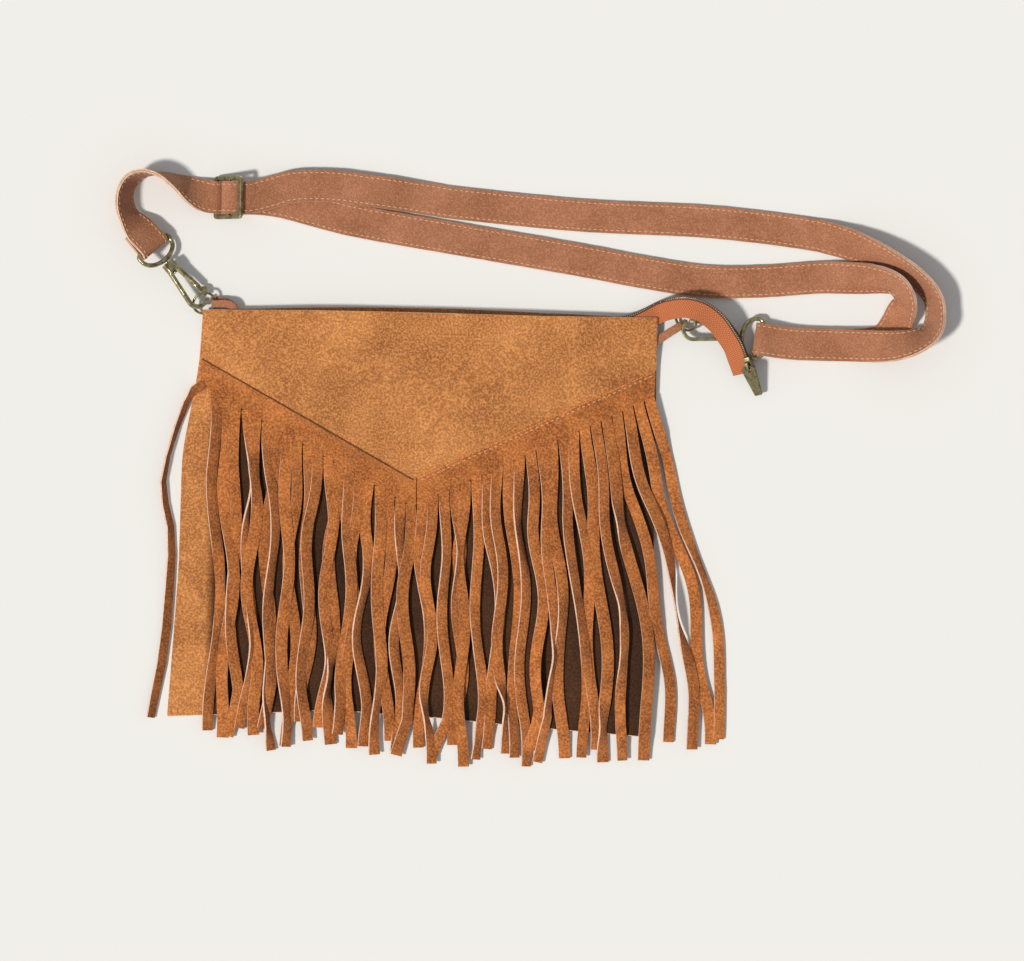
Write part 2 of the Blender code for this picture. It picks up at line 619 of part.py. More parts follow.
def build_tab(name, route, ring, towards, suede, parts):
    """Fold a strip round the ring's wire and bring both ends back into the corner."""
    held, along, normal, reach = ring_frame(ring, towards)
    turn = RING_WIRE + CLEAR + TAB_THICK / 2 + TAB_SLACK
    together = (TAB_THICK + CLEAR) / 2
    places = [Vector(row) if len(row) == 3 else Vector((*row, between(*row))) for row in route]
    rows = spline_through(places + [held - (held - places[-1]) * 0.35], 3.0)
    upper, lower = [], []
    for index, row in enumerate(rows):
        ahead = (rows[min(index + 1, len(rows) - 1)] - rows[max(index - 1, 0)]).normalized()
        t = smooth_step((index / (len(rows) - 1) - 0.4) / 0.6)
        side = turned_side(ahead, 0).lerp(along if turned_side(ahead, 0).dot(along) > 0 else -along, t)
        side.normalize()
        up = ahead.cross(side).normalized()
        up = up if up.z > 0 else -up
        spread = mix(together, turn, t)
        upper.append((row + up * spread, side))
        lower.append((row - up * spread, side))
    ahead = (held - rows[-1]).normalized()
    side = upper[-1][1]
    up = ahead.cross(side).normalized()
    up = up if up.z > 0 else -up
    frames = list(upper)
    for step in range(9):
        angle = math.pi * step / 8
        frames.append((held + ahead * TAB_SLACK + (up * math.cos(angle) + ahead * math.sin(angle)) * turn, side))
    frames += lower[::-1]
    return finish_object(build_ribbon(name, frames, TAB_WIDTH, TAB_THICK), suede, parts)


def tape_rows(front):
    """Frames along one tape's middle, with the normal that carries it off the other tape."""
    rows = []
    for x, y in TAPE_INSIDE:
        if front:
            z = front_top(x, y) - SUEDE - CLEAR - CHAIN_THICK / 2
        else:
            z = back_height(x, y) + SUEDE + CLEAR + CHAIN_THICK / 2
        rows.append((x, y, z, 0))
    shift = TAPE_PITCH / 2 if front else -TAPE_PITCH / 2
    lean = math.radians(TAIL_TILT)
    start = TAIL_END - TAIL_HEADING * TAIL_STRAIGHT
    tail = [Vector(row) for row in TAIL_ROUTE] + [
        Vector((*(start + TAIL_HEADING * TAIL_STRAIGHT * k / 3), TAIL_TILT)) for k in range(4)]
    for row in tail:
        lean = math.radians(row[3])
        side = tail_side(lean)
        normal = TAIL_HEADING.cross(side) if row[3] > 20 else Vector((0, 0, 1))
        rows.append((*(Vector(row[:3]) + normal * shift), row[3]))
    return run_frames(rows, on_ground=False)


def tail_side(lean):
    return turned_side(TAIL_HEADING, math.degrees(lean))


def build_zip(parts, helpers, tape_look, metal_look):
    """Build both tapes with their chains, the slider, its pull and the end stop."""
    edge = TAPE_WIDTH / 2 + CLEAR + CHAIN_WIDTH / 2
    for label, front in (("front", True), ("back", False)):
        frames = tape_rows(front)
        finish_object(build_ribbon("zip_tape_" + label, frames, TAPE_WIDTH, TAPE_THICK), tape_look, parts)
        ridge = [(middle + side * edge, side) for middle, side in frames]
        finish_object(build_ribbon("zip_chain_" + label, ridge, CHAIN_WIDTH, CHAIN_THICK), metal_look, parts)

    side = turned_side(TAIL_HEADING, TAIL_TILT)
    normal = TAIL_HEADING.cross(side)
    ridge_end = TAIL_END + side * edge
    room_s, room_n = CHAIN_WIDTH / 2 + CLEAR, (TAPE_PITCH + CHAIN_THICK) / 2 + CLEAR
    mouth = (TAPE_PITCH + TAPE_THICK) / 2 + CLEAR
    wall = 1.0

    def channel(name, length, back, half):
        outline = [(room_s + wall, -half), (room_s + wall, half), (-room_s - wall, half), (-room_s - wall, mouth),
                   (-room_s, mouth), (-room_s, room_n), (room_s, room_n), (room_s, -room_n),
                   (-room_s, -room_n), (-room_s, -mouth), (-room_s - wall, -mouth), (-room_s - wall, -half)]
        obj = cut_outline(name, [outline], length)
        return placed(obj, ridge_end - TAIL_HEADING * back, side, -normal, -TAIL_HEADING)

    stop = channel("zip_stop", STOP_LENGTH, STOP_LENGTH / 2 + CLEAR, room_n + 0.8)
    finish_object(stop, metal_look, parts, smooth=False)
    slider_back = STOP_LENGTH + 2 * CLEAR + SLIDER_LENGTH / 2
    slider = channel("zip_slider", SLIDER_LENGTH, slider_back, SLIDER_HALF)
    arch = [(-1.6, 0), (-1.6, 4.1), (3.6, 4.1), (3.6, 0), (2.4, 0), (2.4, 3.3), (-0.4, 3.3), (-0.4, 0)]
    bail = cut_outline("zip_bail", [[(x, y - 0.4) for x, y in arch]], 1.8)
    bail.data.transform(Matrix(((0, 0, -1, 0), (0, -1, 0, 0), (-1, 0, 0, 0), (0, 0, 0, 1))))
    combine(slider, bail, "UNION", helpers, (0, -SLIDER_HALF, 0))
    finish_object(slider, metal_look, parts, smooth=False)

    hinge = (ridge_end - TAIL_HEADING * slider_back + normal * (SLIDER_HALF + 1.9) + TAIL_HEADING * 3.0)
    drop = math.radians(PULL_DROP)
    along = TAIL_HEADING * math.cos(drop) - normal * math.sin(drop)
    out = TAIL_HEADING * math.sin(drop) + normal * math.cos(drop)
    outline = [(-1.9, -3.0), (0, -PULL_TOP / 2), (PULL_LENGTH, -PULL_TIP / 2),
               (PULL_LENGTH, PULL_TIP / 2), (0, PULL_TOP / 2), (-1.9, 3.0)]
    hole = [(-1.15, -1.3), (1.6, -1.3), (1.6, 1.3), (-1.15, 1.3)]
    pull = cut_outline("zip_pull", [outline, hole], PULL_THICK)
    placed(pull, hinge, along, out.cross(along), out)
    finish_object(pull, metal_look, parts, smooth=False)


def build_strap(suede, parts):
    """Lay the strap out as one band from the buckle to the right hook, back and on to the left hook."""
    turn = STRAP_THICK / 2 + BUCKLE_BAR * 0.71 + CLEAR
    flat = Vector((0, 1, 0))
    frames = fold_round(BUCKLE_AT, flat, Vector((-1, 0, 0)), -1, 13.0, turn)
    frames += run_frames(UPPER_RUN)
    bar, ahead, across, _ = hook_axes(RIGHT_HOOK)
    frames += fold_round(bar, -across, ahead, 1, 14.0)
    frames += run_frames(LOWER_RUN)
    bar, ahead, across, _ = hook_axes(LEFT_HOOK)
    frames += fold_round(bar, across, ahead, 1, 14.0)
    finish_object(build_ribbon("strap", frames, STRAP_WIDTH, STRAP_THICK), suede, parts)


def build_buckle(brass, parts):
    """Build the three-bar slider that sets the strap's length."""
    run = math.sqrt(BUCKLE_PITCH ** 2 - BUCKLE_RISE ** 2)
    ahead = Vector((run, 0, BUCKLE_RISE)).normalized()
    half_x, half_y, bar = BUCKLE_PITCH + BUCKLE_BAR / 2, BUCKLE_HALF, BUCKLE_BAR
    corner = 2.2
    outer = []
    for cx, cy, first in ((1, 1, 0), (-1, 1, 90), (-1, -1, 180), (1, -1, 270)):
        for step in range(4):
            angle = math.radians(first + 30 * step)
            outer.append((cx * (half_x - corner) + corner * math.cos(angle),
                          cy * (half_y - corner) + corner * math.sin(angle)))
    far, near, side = half_x - bar, bar / 2, half_y - bar
    holes = [[(s * near, -side), (s * far, -side), (s * far, side), (s * near, side)] for s in (-1, 1)]
    buckle = cut_outline("strap_buckle", [outer] + holes, BUCKLE_BAR)
    across = Vector((0, 1, 0))
    placed(buckle, BUCKLE_AT, ahead, across, ahead.cross(across))
    finish_object(buckle, brass, parts, smooth=False)


def main():
    for old in list(bpy.data.objects):
        bpy.data.objects.remove(old)
    parts = bpy.data.collections.new("Fringed_bag")
    helpers = bpy.data.collections.new("Cutters")
    for collection in (parts, helpers):
        bpy.context.scene.collection.children.link(collection)

    tan = add_material("tan_suede", (0.56, 0.25, 0.085), 0.95)
    fringe = add_material("fringe_suede", (0.47, 0.18, 0.055), 0.95)
    strap = add_material("strap_suede", (0.44, 0.20, 0.10), 0.92)
    tape = add_material("zip_tape", (0.55, 0.19, 0.07), 0.9)
    brass = add_material("antique_brass", (0.36, 0.30, 0.15), 0.38, 1.0)
    dark = add_material("zip_metal", (0.20, 0.17, 0.11), 0.42, 1.0)

    finish_object(build_panel("back_panel", lambda x, y: back_height(x, y) + SUEDE / 2, BACK_EXTRA),
                  tan, parts)
    finish_object(build_panel("front_panel", lambda x, y: front_top(x, y) - SUEDE / 2, 0.0),
                  tan, parts)

    far_route = [(-148.5, 47.8), (-153.5, 30.0), (-155.0, 14.0), (-153.0, 0.0), (-150.4, -12.0),
                 (-149.6, -30.0), (-150.6, -52.0), (-152.0, -75.0), (-154.6, -98.0), (-158.4, -118.0),
                 (-160.7, -131.0)]
    far = (0, [(-131.0, 76.0), (-140.5, 68.0), (-145.0, 58.0)] + far_route, math.radians(62))
    left = build_fringe("fringe_left", V_LEFT[0], V_POINT[0] + 2.3, LEFT_STRIPS + 1, LEFT_TIPS, 1.5, far)
    finish_object(left, fringe, parts)
    right = build_fringe("fringe_right", V_POINT[0] + 2.9, V_RIGHT[0], RIGHT_STRIPS, RIGHT_TIPS, 2.5)
    finish_object(right, fringe, parts)

    build_zip(parts, helpers, tape, dark)
    build_ring("ring_left", LEFT_RING, Vector((1, 0, 0)), brass, parts)
    build_ring("ring_right", RIGHT_RING, Vector((-1, -1, 0)), brass, parts)
    build_tab("tab_left", LEFT_TAB, LEFT_RING, Vector((1, 0, 0)), strap, parts)
    build_tab("tab_right", RIGHT_TAB, RIGHT_RING, Vector((-1, -1, 0)), strap, parts)
    build_hook("hook_left", LEFT_HOOK, brass, parts, helpers)
    build_hook("hook_right", RIGHT_HOOK, brass, parts, helpers)
    build_strap(strap, parts)
    build_buckle(brass, parts)


if __name__ == "__main__":
    main()
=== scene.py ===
import json
import math
import random

import bmesh
import bpy
from mathutils import Matrix, Vector, noise
from mathutils.bvhtree import BVHTree


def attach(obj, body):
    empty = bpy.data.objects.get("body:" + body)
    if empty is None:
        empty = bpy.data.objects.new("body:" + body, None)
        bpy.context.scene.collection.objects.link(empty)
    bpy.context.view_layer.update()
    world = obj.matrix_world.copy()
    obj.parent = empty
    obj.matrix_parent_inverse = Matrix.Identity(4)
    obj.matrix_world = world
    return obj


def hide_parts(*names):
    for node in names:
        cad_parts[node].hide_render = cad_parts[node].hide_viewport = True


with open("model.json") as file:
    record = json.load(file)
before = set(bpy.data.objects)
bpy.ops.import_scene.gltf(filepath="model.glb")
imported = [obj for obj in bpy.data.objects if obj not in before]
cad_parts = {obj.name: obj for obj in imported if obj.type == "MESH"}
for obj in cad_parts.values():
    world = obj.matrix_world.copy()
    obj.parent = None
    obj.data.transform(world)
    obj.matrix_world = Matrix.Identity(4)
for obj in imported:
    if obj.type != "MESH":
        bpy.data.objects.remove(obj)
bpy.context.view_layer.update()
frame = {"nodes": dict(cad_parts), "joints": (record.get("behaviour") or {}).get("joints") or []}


# View: the bag lies on a pale floor and is seen from straight above, with soft light that comes
# from the lower left, so that the strips and the strap throw short shadows to the right.
bpy.context.scene.view_settings.view_transform = "Standard"
view = bpy.data.cameras.new("view")
view.sensor_width = 36.0
HEIGHT, SEEN_WIDTH = 2.6, 0.640               # metres: the camera's height and the width that it sees
view.lens = view.sensor_width * HEIGHT / SEEN_WIDTH
view.clip_end = 20.0
camera = bpy.data.objects.new("view", view)
bpy.context.scene.collection.objects.link(camera)
camera.location = (0.0621, 0.0209, HEIGHT)
camera.rotation_euler = (0.0, 0.0, 0.0192)
bpy.context.scene.camera = camera

lamp = bpy.data.lights.new("soft_sun", "SUN")
lamp.energy = 3.1
lamp.angle = math.radians(7)
lamp.color = (1.0, 0.97, 0.92)
sun = bpy.data.objects.new("soft_sun", lamp)
bpy.context.scene.collection.objects.link(sun)
sun.rotation_euler = Vector((-0.50, -0.30, 0.81)).to_track_quat("Z", "Y").to_euler()

sky = bpy.data.worlds.new("studio")
sky.use_nodes = True
sky.node_tree.nodes["Background"].inputs["Color"].default_value = (0.92, 0.96, 1.0, 1.0)
sky.node_tree.nodes["Background"].inputs["Strength"].default_value = 0.42
bpy.context.scene.world = sky


def plain_material(name, colour, rough, metal=0.0):
    """Start a material and return it with its nodes, links and shader."""
    material = bpy.data.materials.new(name)
    material.use_nodes = True
    tree = material.node_tree
    shader = tree.nodes["Principled BSDF"]
    shader.inputs["Base Color"].default_value = (*colour, 1.0)
    shader.inputs["Roughness"].default_value = rough
    shader.inputs["Metallic"].default_value = metal
    return material, tree.nodes, tree.links, shader


floor_paint = plain_material("floor_paint", (0.74, 0.73, 0.705), 0.95)[0]
bpy.ops.mesh.primitive_plane_add(size=6.0, location=(0.06, 0.02, -0.0006))
floor = bpy.context.object
floor.name = "floor"
floor.data.materials.append(floor_paint)


# Suede: split hide with a short nap. It is speckled at the size of its grain, rubbed in soft
# patches, and dull. Cut edges show the paler core of the hide.
def nap_group():
    """Build the nap once: speckle, rubbed patches, dull sheen and a fine bump."""
    group = bpy.data.node_groups.new("suede_nap", "ShaderNodeTree")
    face = group.interface
    for label in ("Light", "Dark"):
        face.new_socket(label, in_out="INPUT", socket_type="NodeSocketColor")
    for label, value in (("Grain", 900.0), ("Patch", 16.0), ("Depth", 0.5)):
        socket = face.new_socket(label, in_out="INPUT", socket_type="NodeSocketFloat")
        socket.default_value = value
    face.new_socket("Color", in_out="OUTPUT", socket_type="NodeSocketColor")
    face.new_socket("Roughness", in_out="OUTPUT", socket_type="NodeSocketFloat")
    face.new_socket("Normal", in_out="OUTPUT", socket_type="NodeSocketVector")
    add, link = group.nodes.new, group.links.new
    given, out, place = add("NodeGroupInput"), add("NodeGroupOutput"), add("ShaderNodeTexCoord")

    speckle = add("ShaderNodeTexNoise")
    speckle.inputs["Detail"].default_value = 3.0
    speckle.inputs["Roughness"].default_value = 0.65
    link(place.outputs["Object"], speckle.inputs["Vector"])
    link(given.outputs["Grain"], speckle.inputs["Scale"])
    spread = add("ShaderNodeMapRange")
    spread.inputs["From Min"].default_value = 0.40
    spread.inputs["From Max"].default_value = 0.60
    link(speckle.outputs["Fac"], spread.inputs["Value"])

    patch = add("ShaderNodeTexNoise")
    patch.inputs["Detail"].default_value = 5.0
    patch.inputs["Roughness"].default_value = 0.6
    patch.inputs["Distortion"].default_value = 0.4
    link(place.outputs["Object"], patch.inputs["Vector"])
    link(given.outputs["Patch"], patch.inputs["Scale"])
    rubbed = add("ShaderNodeMapRange")
    rubbed.inputs["From Min"].default_value = 0.34
    rubbed.inputs["From Max"].default_value = 0.66
    link(patch.outputs["Fac"], rubbed.inputs["Value"])

    blend = add("ShaderNodeMath")
    blend.operation = "MULTIPLY_ADD"
    blend.inputs[1].default_value = 0.62
    link(spread.outputs["Result"], blend.inputs[0])
    share = add("ShaderNodeMath")
    share.operation = "MULTIPLY"
    share.inputs[1].default_value = 0.38
    link(rubbed.outputs["Result"], share.inputs[0])
    link(share.outputs[0], blend.inputs[2])
    tone = add("ShaderNodeMix")
    tone.data_type = "RGBA"
    link(blend.outputs[0], tone.inputs["Factor"])
    link(given.outputs["Dark"], tone.inputs["A"])
    link(given.outputs["Light"], tone.inputs["B"])
    link(tone.outputs["Result"], out.inputs["Color"])

    dull = add("ShaderNodeMapRange")
    dull.inputs["To Min"].default_value = 0.98
    dull.inputs["To Max"].default_value = 0.82
    link(rubbed.outputs["Result"], dull.inputs["Value"])
    link(dull.outputs["Result"], out.inputs["Roughness"])

    bump = add("ShaderNodeBump")
    bump.inputs["Distance"].default_value = 0.0006
    link(given.outputs["Depth"], bump.inputs["Strength"])
    link(spread.outputs["Result"], bump.inputs["Height"])
    link(bump.outputs["Normal"], out.inputs["Normal"])
    return group


nap = nap_group()


def suede(name, light, dark, grain=900.0, patch=16.0, depth=0.5, toned=False):
    """Suede in two tones; a toned piece also darkens or lightens by its own 'tone' attribute, which carries
    random tone and, on the front panel and the header edges, painted shade and painted light.
    """
    material, nodes, links, shader = plain_material(name, light, 0.95)
    cell = nodes.new("ShaderNodeGroup")
    cell.node_tree = nap
    cell.inputs["Light"].default_value = (*light, 1.0)
    cell.inputs["Dark"].default_value = (*dark, 1.0)
    cell.inputs["Grain"].default_value = grain
    cell.inputs["Patch"].default_value = patch
    cell.inputs["Depth"].default_value = depth
    colour = cell.outputs["Color"]
    if toned:
        mark = nodes.new("ShaderNodeAttribute")
        mark.attribute_name = "tone"
        scaled = nodes.new("ShaderNodeMix")
        scaled.data_type = "RGBA"
        scaled.blend_type = "MULTIPLY"
        scaled.inputs["Factor"].default_value = 1.0
        links.new(colour, scaled.inputs["A"])
        links.new(mark.outputs["Color"], scaled.inputs["B"])
        colour = scaled.outputs["Result"]
    links.new(colour, shader.inputs["Base Color"])
    links.new(cell.outputs["Roughness"], shader.inputs["Roughness"])
    links.new(cell.outputs["Normal"], shader.inputs["Normal"])
    shader.inputs["Sheen Weight"].default_value = 0.12
    shader.inputs["Sheen Roughness"].default_value = 0.6
    shader.inputs["Specular IOR Level"].default_value = 0.15
    return material


panel_suede = suede("panel_suede", (0.74, 0.305, 0.092), (0.25, 0.080, 0.022), grain=760.0, patch=22.0,
                    toned=True)
fringe_suede = suede("fringe_suede", (0.66, 0.220, 0.053), (0.19, 0.052, 0.012), grain=760.0, patch=60.0,
                     toned=True)
cut_edge = suede("cut_edge", (0.84, 0.60, 0.46), (0.52, 0.29, 0.18), grain=1400.0, patch=200.0, depth=0.25)


# Pouch: two panels of suede, sewn face to face and turned, so their sides show no seam. The
# front bellies a little where the fringe's weight pulls it, and both top edges are left raw.
def deselect():
    """Leave nothing selected, so that the next operator works on its own piece only."""
    for other in bpy.context.selected_objects:
        other.select_set(False)


def copy_of(node, name):
    """Copy a solid of the frame as a welded mesh of quads that can be worked on."""
    deselect()
    piece = bpy.data.objects.new(name, frame["nodes"][node].data.copy())
    bpy.context.scene.collection.objects.link(piece)
    bpy.context.view_layer.objects.active = piece
    piece.select_set(True)
    bpy.ops.object.mode_set(mode="EDIT")
    bpy.ops.mesh.select_all(action="SELECT")
    bpy.ops.mesh.remove_doubles(threshold=0.000005)
    bpy.ops.mesh.tris_convert_to_quads(face_threshold=0.6, shape_threshold=0.9)
    bpy.ops.object.mode_set(mode="OBJECT")
    piece.data.materials.clear()
    return piece


def apply_all(piece):
    """Apply a piece's modifiers in order."""
    bpy.context.view_layer.objects.active = piece
    for modifier in list(piece.modifiers):
        bpy.ops.object.modifier_apply(modifier=modifier.name)


def crisp(piece, angle=50.0):
    """Hold the piece's sharp edges while it is subdivided."""
    built = bmesh.new()
    built.from_mesh(piece.data)
    crease = built.edges.layers.float.get("crease_edge") or built.edges.layers.float.new("crease_edge")
    for edge in built.edges:
        if len(edge.link_faces) == 2 and edge.calc_face_angle() > math.radians(angle):
            edge[crease] = 0.9
    built.to_mesh(piece.data)
    built.free()


def finish(piece, body, slot, *nodes, angle=40.0):
    """Shade the piece, hang it on the body that it rides on, and hide the frame's solids that it stands for.
    """
    bpy.context.view_layer.objects.active = piece
    deselect()
    piece.select_set(True)
    bpy.ops.object.shade_smooth_by_angle(angle=math.radians(angle))
    if nodes:
        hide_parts(*nodes)
    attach(piece, body)


V_LEFT, V_POINT, V_RIGHT = (-133.2, 93.1), (0.2, 20.0), (150.0, 91.0)
HEADER_DROP = 15.5
PANEL_THICK = 0.0013                          # metres


def v_line(x):
    """Height of the V on the front, in millimetres."""
    end = V_LEFT if x < V_POINT[0] else V_RIGHT
    return V_POINT[1] + (end[1] - V_POINT[1]) * (x - V_POINT[0]) / (end[0] - V_POINT[0])


for node in ("front_panel", "back_panel"):
    panel = copy_of(node, node + "_suede")
    panel.data.materials.append(panel_suede)
    panel.data.materials.append(cut_edge)
    for face in panel.data.polygons:
        corners = [panel.data.vertices[v].co for v in face.vertices]
        sides = [(corners[k] - corners[k - 1]).length for k in range(len(corners))]
        if min(sides) < PANEL_THICK * 1.2 and abs(face.normal.z) < 0.6:
            face.material_index = 1
    crisp(panel)
    soft = panel.modifiers.new("soft", "SUBSURF")
    soft.levels = soft.render_levels = 3
    apply_all(panel)
    marks = panel.data.attributes.new("tone", "FLOAT_COLOR", "POINT")
    front = node == "front_panel"
    for vertex, mark in zip(panel.data.vertices, marks.data):
        x, y = vertex.co.x * 1000, vertex.co.y * 1000
        low = noise.noise(Vector((x * 0.011, y * 0.016, 3.0 if front else 9.0)))
        fine = noise.noise(Vector((x * 0.05, y * 0.07, 5.0)))
        vertex.co.z += 0.0005 * low * (1 if front else 0.2) + 0.00016 * fine * front
        # Painted shade: the front is darkened and warmed where the fringe lies over it, standing in for the
        # strips' shadow; the low noise adds random tone.
        fringe_shadow_paint = min(1.0, max(0.0, (v_line(x) - HEADER_DROP * 0.5 - y) / 14.0))
        fringe_shadow_paint *= min(1.0, max(0.0, (x + 128.0) / 6.0))
        shade = 1.0 - 0.90 * fringe_shadow_paint * front + 0.05 * low
        mark.color = (shade, shade * (1 - 0.1 * fringe_shadow_paint), shade * (1 - 0.15 * fringe_shadow_paint), 1.0)
    finish(panel, "bag", "tan_suede", node)


# Fringe: on each side of the V one piece of thinner suede is sewn on along its top edge and cut
# into strips below. Each strip hangs its own way, turns on its edge, and shows its pale cut side.
def tree_of(mesh):
    """Search tree over a mesh's faces, for reading heights off it."""
    return BVHTree.FromPolygons([v.co for v in mesh.vertices], [tuple(p.vertices) for p in mesh.polygons])


class Ground:
    """Heights in millimetres of what a strip lies on: the front panel, and the floor beyond it."""

    def __init__(self):
        self.tree = tree_of(bpy.data.objects["front_panel_suede"].data)

    def at(self, x, y):
        hit = self.tree.ray_cast(Vector((x / 1000, y / 1000, 0.1)), Vector((0, 0, -1)))
        return hit[0].z * 1000 if hit[0] else 0.0


ground = Ground()
THICK, STEEPEST = 1.1, 0.55                   # a strip's thickness, and how fast it can drop as it runs
random.seed(7)

# tip of each strip, x and y, and how far its middle hangs off the straight line to it
LEFT_TIPS = [(-123.6, -138.7, 3), (-116, -142.9, 4), (-106.1, -142.1, -2), (-101.8, -137, 3), (-95, -141, -3),
             (-88.7, -136.8, 4), (-84, -150.4, -4), (-76.6, -147.8, 1), (-69.1, -147.6, -3), (-66, -132, 2),
             (-62.9, -143.8, -4), (-55, -135.5, 3), (-48, -146, -2), (-42, -139.5, 2), (-35.5, -148, -3),
             (-24.7, -146.8, -5), (-19, -151.7, 1), (-12, -143, -2), (-7.1, -149.6, 2), (0.6, -151.8, -1)]
RIGHT_TIPS = [(7.4, -147, 2), (13.6, -156.7, -3), (22.3, -154, 0), (29, -145, 3), (34.3, -158.2, -2),
              (43, -153.6, 1), (51.5, -147, 4), (60.4, -149.5, -1), (66.5, -152, 3), (73, -157.4, 0),
              (81, -148, 3), (88.6, -154.6, 4), (97.3, -151.9, 1), (109.2, -151.1, 4), (116.5, -146, 2),
              (123, -153.9, 4), (134.2, -152.5, 5), (148.6, -152.2, 7), (163.5, -140.5, 4),
              (178.5, -144.7, 6), (187.8, -141.4, 7), (197.1, -138.1, 9)]


def strip_path(root_x, root_y, tip, bow, seed):
    """Centre line of a strip: it leaves the header straight, then bows and waves down to its tip."""
    path = []
    steps = 56
    phase, waves = random.uniform(0, 6.3), random.uniform(1.3, 2.3)
    kink = random.choice((0.0, 0.0, 0.0, 2.5, 7.0))
    for step in range(steps + 1):
        t = step / steps
        ease = t * 0.45 + (3 * t * t - 2 * t ** 3) * 0.55
        x = root_x + (tip[0] - root_x) * ease + bow * math.sin(math.pi * t)
        calm = min(1.0, t * 4) * min(1.0, (1.15 - t) * 3)
        x += 2.5 * calm * math.sin(phase + 2 * math.pi * waves * t)
        x -= kink * max(0.0, t - 0.86) / 0.14
        x += 2.4 * calm * noise.noise(Vector((seed * 0.30, t * 3.0, 1.7)))
        path.append((x, root_y + (tip[1] - root_y) * t))
    return path


def free_cup(t):
    """How far a strip has cupped: not at all at the header, fully after a fifth of its length."""
    return min(1.0, t * 5)


def strip_mesh(path, width, lift, rolls, base_roll, tone, pitch, points, faces, tones, edges):
    """Add one strip to the lists: a flat section of five by two points that turns along the path."""
    count = len(path)
    rows = []
    for index in range(count):
        t = index / (count - 1)
        before, after = path[max(index - 1, 0)], path[min(index + 1, count - 1)]
        ahead = Vector((after[0] - before[0], after[1] - before[1], 0)).normalized()
        turn = 0.0
        for height, centre, spread in rolls:
            turn += height * math.exp(-((t - centre) / spread) ** 2)
        free = min(1.0, t / 0.12)
        roll = (base_roll + turn) * (3 * free * free - 2 * free ** 3)
        wide = (pitch - 0.25) * (1 - free) + width * free
        rows.append([path[index], ahead, roll, wide, t])
    heights = []
    for (x, y), ahead, roll, wide, t in rows:
        side = Vector((ahead.y, -ahead.x, 0)) * wide / 2 * math.cos(roll)
        low = max(ground.at(x + side.x * k, y + side.y * k) for k in (-1, 0, 1))
        heights.append(low + THICK * 0.55 + abs(math.sin(roll)) * wide / 2 + lift * min(1.0, t * 5) + 0.35)
    for sweep in (range(1, count), range(count - 2, -1, -1)):
        for index in sweep:
            other = index - 1 if sweep.step == 1 else index + 1
            step = math.dist(path[index], path[other])
            heights[index] = max(heights[index], heights[other] - STEEPEST * step)
    smooth = [sum(heights[max(0, min(count - 1, index + k))] for k in (-2, -1, 0, 1, 2)) / 5
              for index in range(count)]
    heights = [max(a, b - 0.5) for a, b in zip(smooth, heights)]
    start = len(points)
    for index, ((x, y), ahead, roll, wide, t) in enumerate(rows):
        left = Vector((ahead.y, -ahead.x, 0))
        if left.x > 0:
            left = -left
        across = left * math.cos(roll) + Vector((0, 0, math.sin(roll)))
        up = Vector((0, 0, math.cos(roll))) - left * math.sin(roll)
        middle = Vector((x, y, heights[index]))
        for level in (1, -1):
            for k in (-1.0, -0.5, 0.0, 0.5, 1.0):
                cup = 0.22 * (1 - k * k) * free_cup(t)
                points.append(middle + across * wide / 2 * k + up * (level * THICK / 2 + cup))
                tones.append(tone)
    for index in range(count - 1):
        a, b = start + index * 10, start + (index + 1) * 10
        for k in range(4):
            faces.append((a + k, a + k + 1, b + k + 1, b + k))
            edges.append(0)
            faces.append((a + 5 + k + 1, a + 5 + k, b + 5 + k, b + 5 + k + 1))
            edges.append(0)
        faces.append((a + 5, a, b, b + 5))
        faces.append((a + 4, a + 9, b + 9, b + 4))
        edges += [1, 1]
    for a, turned in ((start, True), (start + (count - 1) * 10, False)):
        for k in range(4):
            quad = (a + k, a + k + 1, a + 5 + k + 1, a + 5 + k)
            faces.append(quad if not turned else quad[::-1])
            edges.append(1)


def header_mesh(start_x, end_x, points, faces, tones, edges):
    """Add the uncut band along the V to the lists, lying close on the front panel."""
    columns, rows = 64, 18
    start = len(points)
    for level in (1, -1):
        for row in range(rows + 1):
            for column in range(columns + 1):
                x = start_x + (end_x - start_x) * column / columns
                y = v_line(x) - (HEADER_DROP + 0.8) * row / rows
                wave = 0.25 * noise.noise(Vector((x * 0.08, y * 0.08, 4.0)))
                rest = ground.at(x, y) or ground.at(x * 0.985, y)
                points.append(Vector((x, y, rest + 0.45 + wave + THICK * (0.5 + level * 0.5))))
                # Painted light and shade on the header's top row: brighter along the right arm, as if lit,
                # and darker along the left arm, as a painted shadow line.
                edge_light_paint = (1.9 if start_x > V_LEFT[0] else 0.7) if row == 0 else 0.98
                tones.append(edge_light_paint)
    line, sheet = columns + 1, (columns + 1) * (rows + 1)
    for row in range(rows):
        for column in range(columns):
            a = start + row * line + column
            faces.append((a, a + line, a + line + 1, a + 1))
            b = a + sheet
            faces.append((b, b + 1, b + line + 1, b + line))
            edges.extend((0, 0))
    rim = [(row * line, (row + 1) * line) for row in range(rows)]
    rim += [(rows * line + column, rows * line + column + 1) for column in range(columns)]
    rim += [((row + 1) * line + columns, row * line + columns) for row in reversed(range(rows))]
    rim += [(column + 1, column) for column in reversed(range(columns))]
    for a, b in rim:
        faces.append((start + a, start + a + sheet, start + b + sheet, start + b))
        edges.append(1)


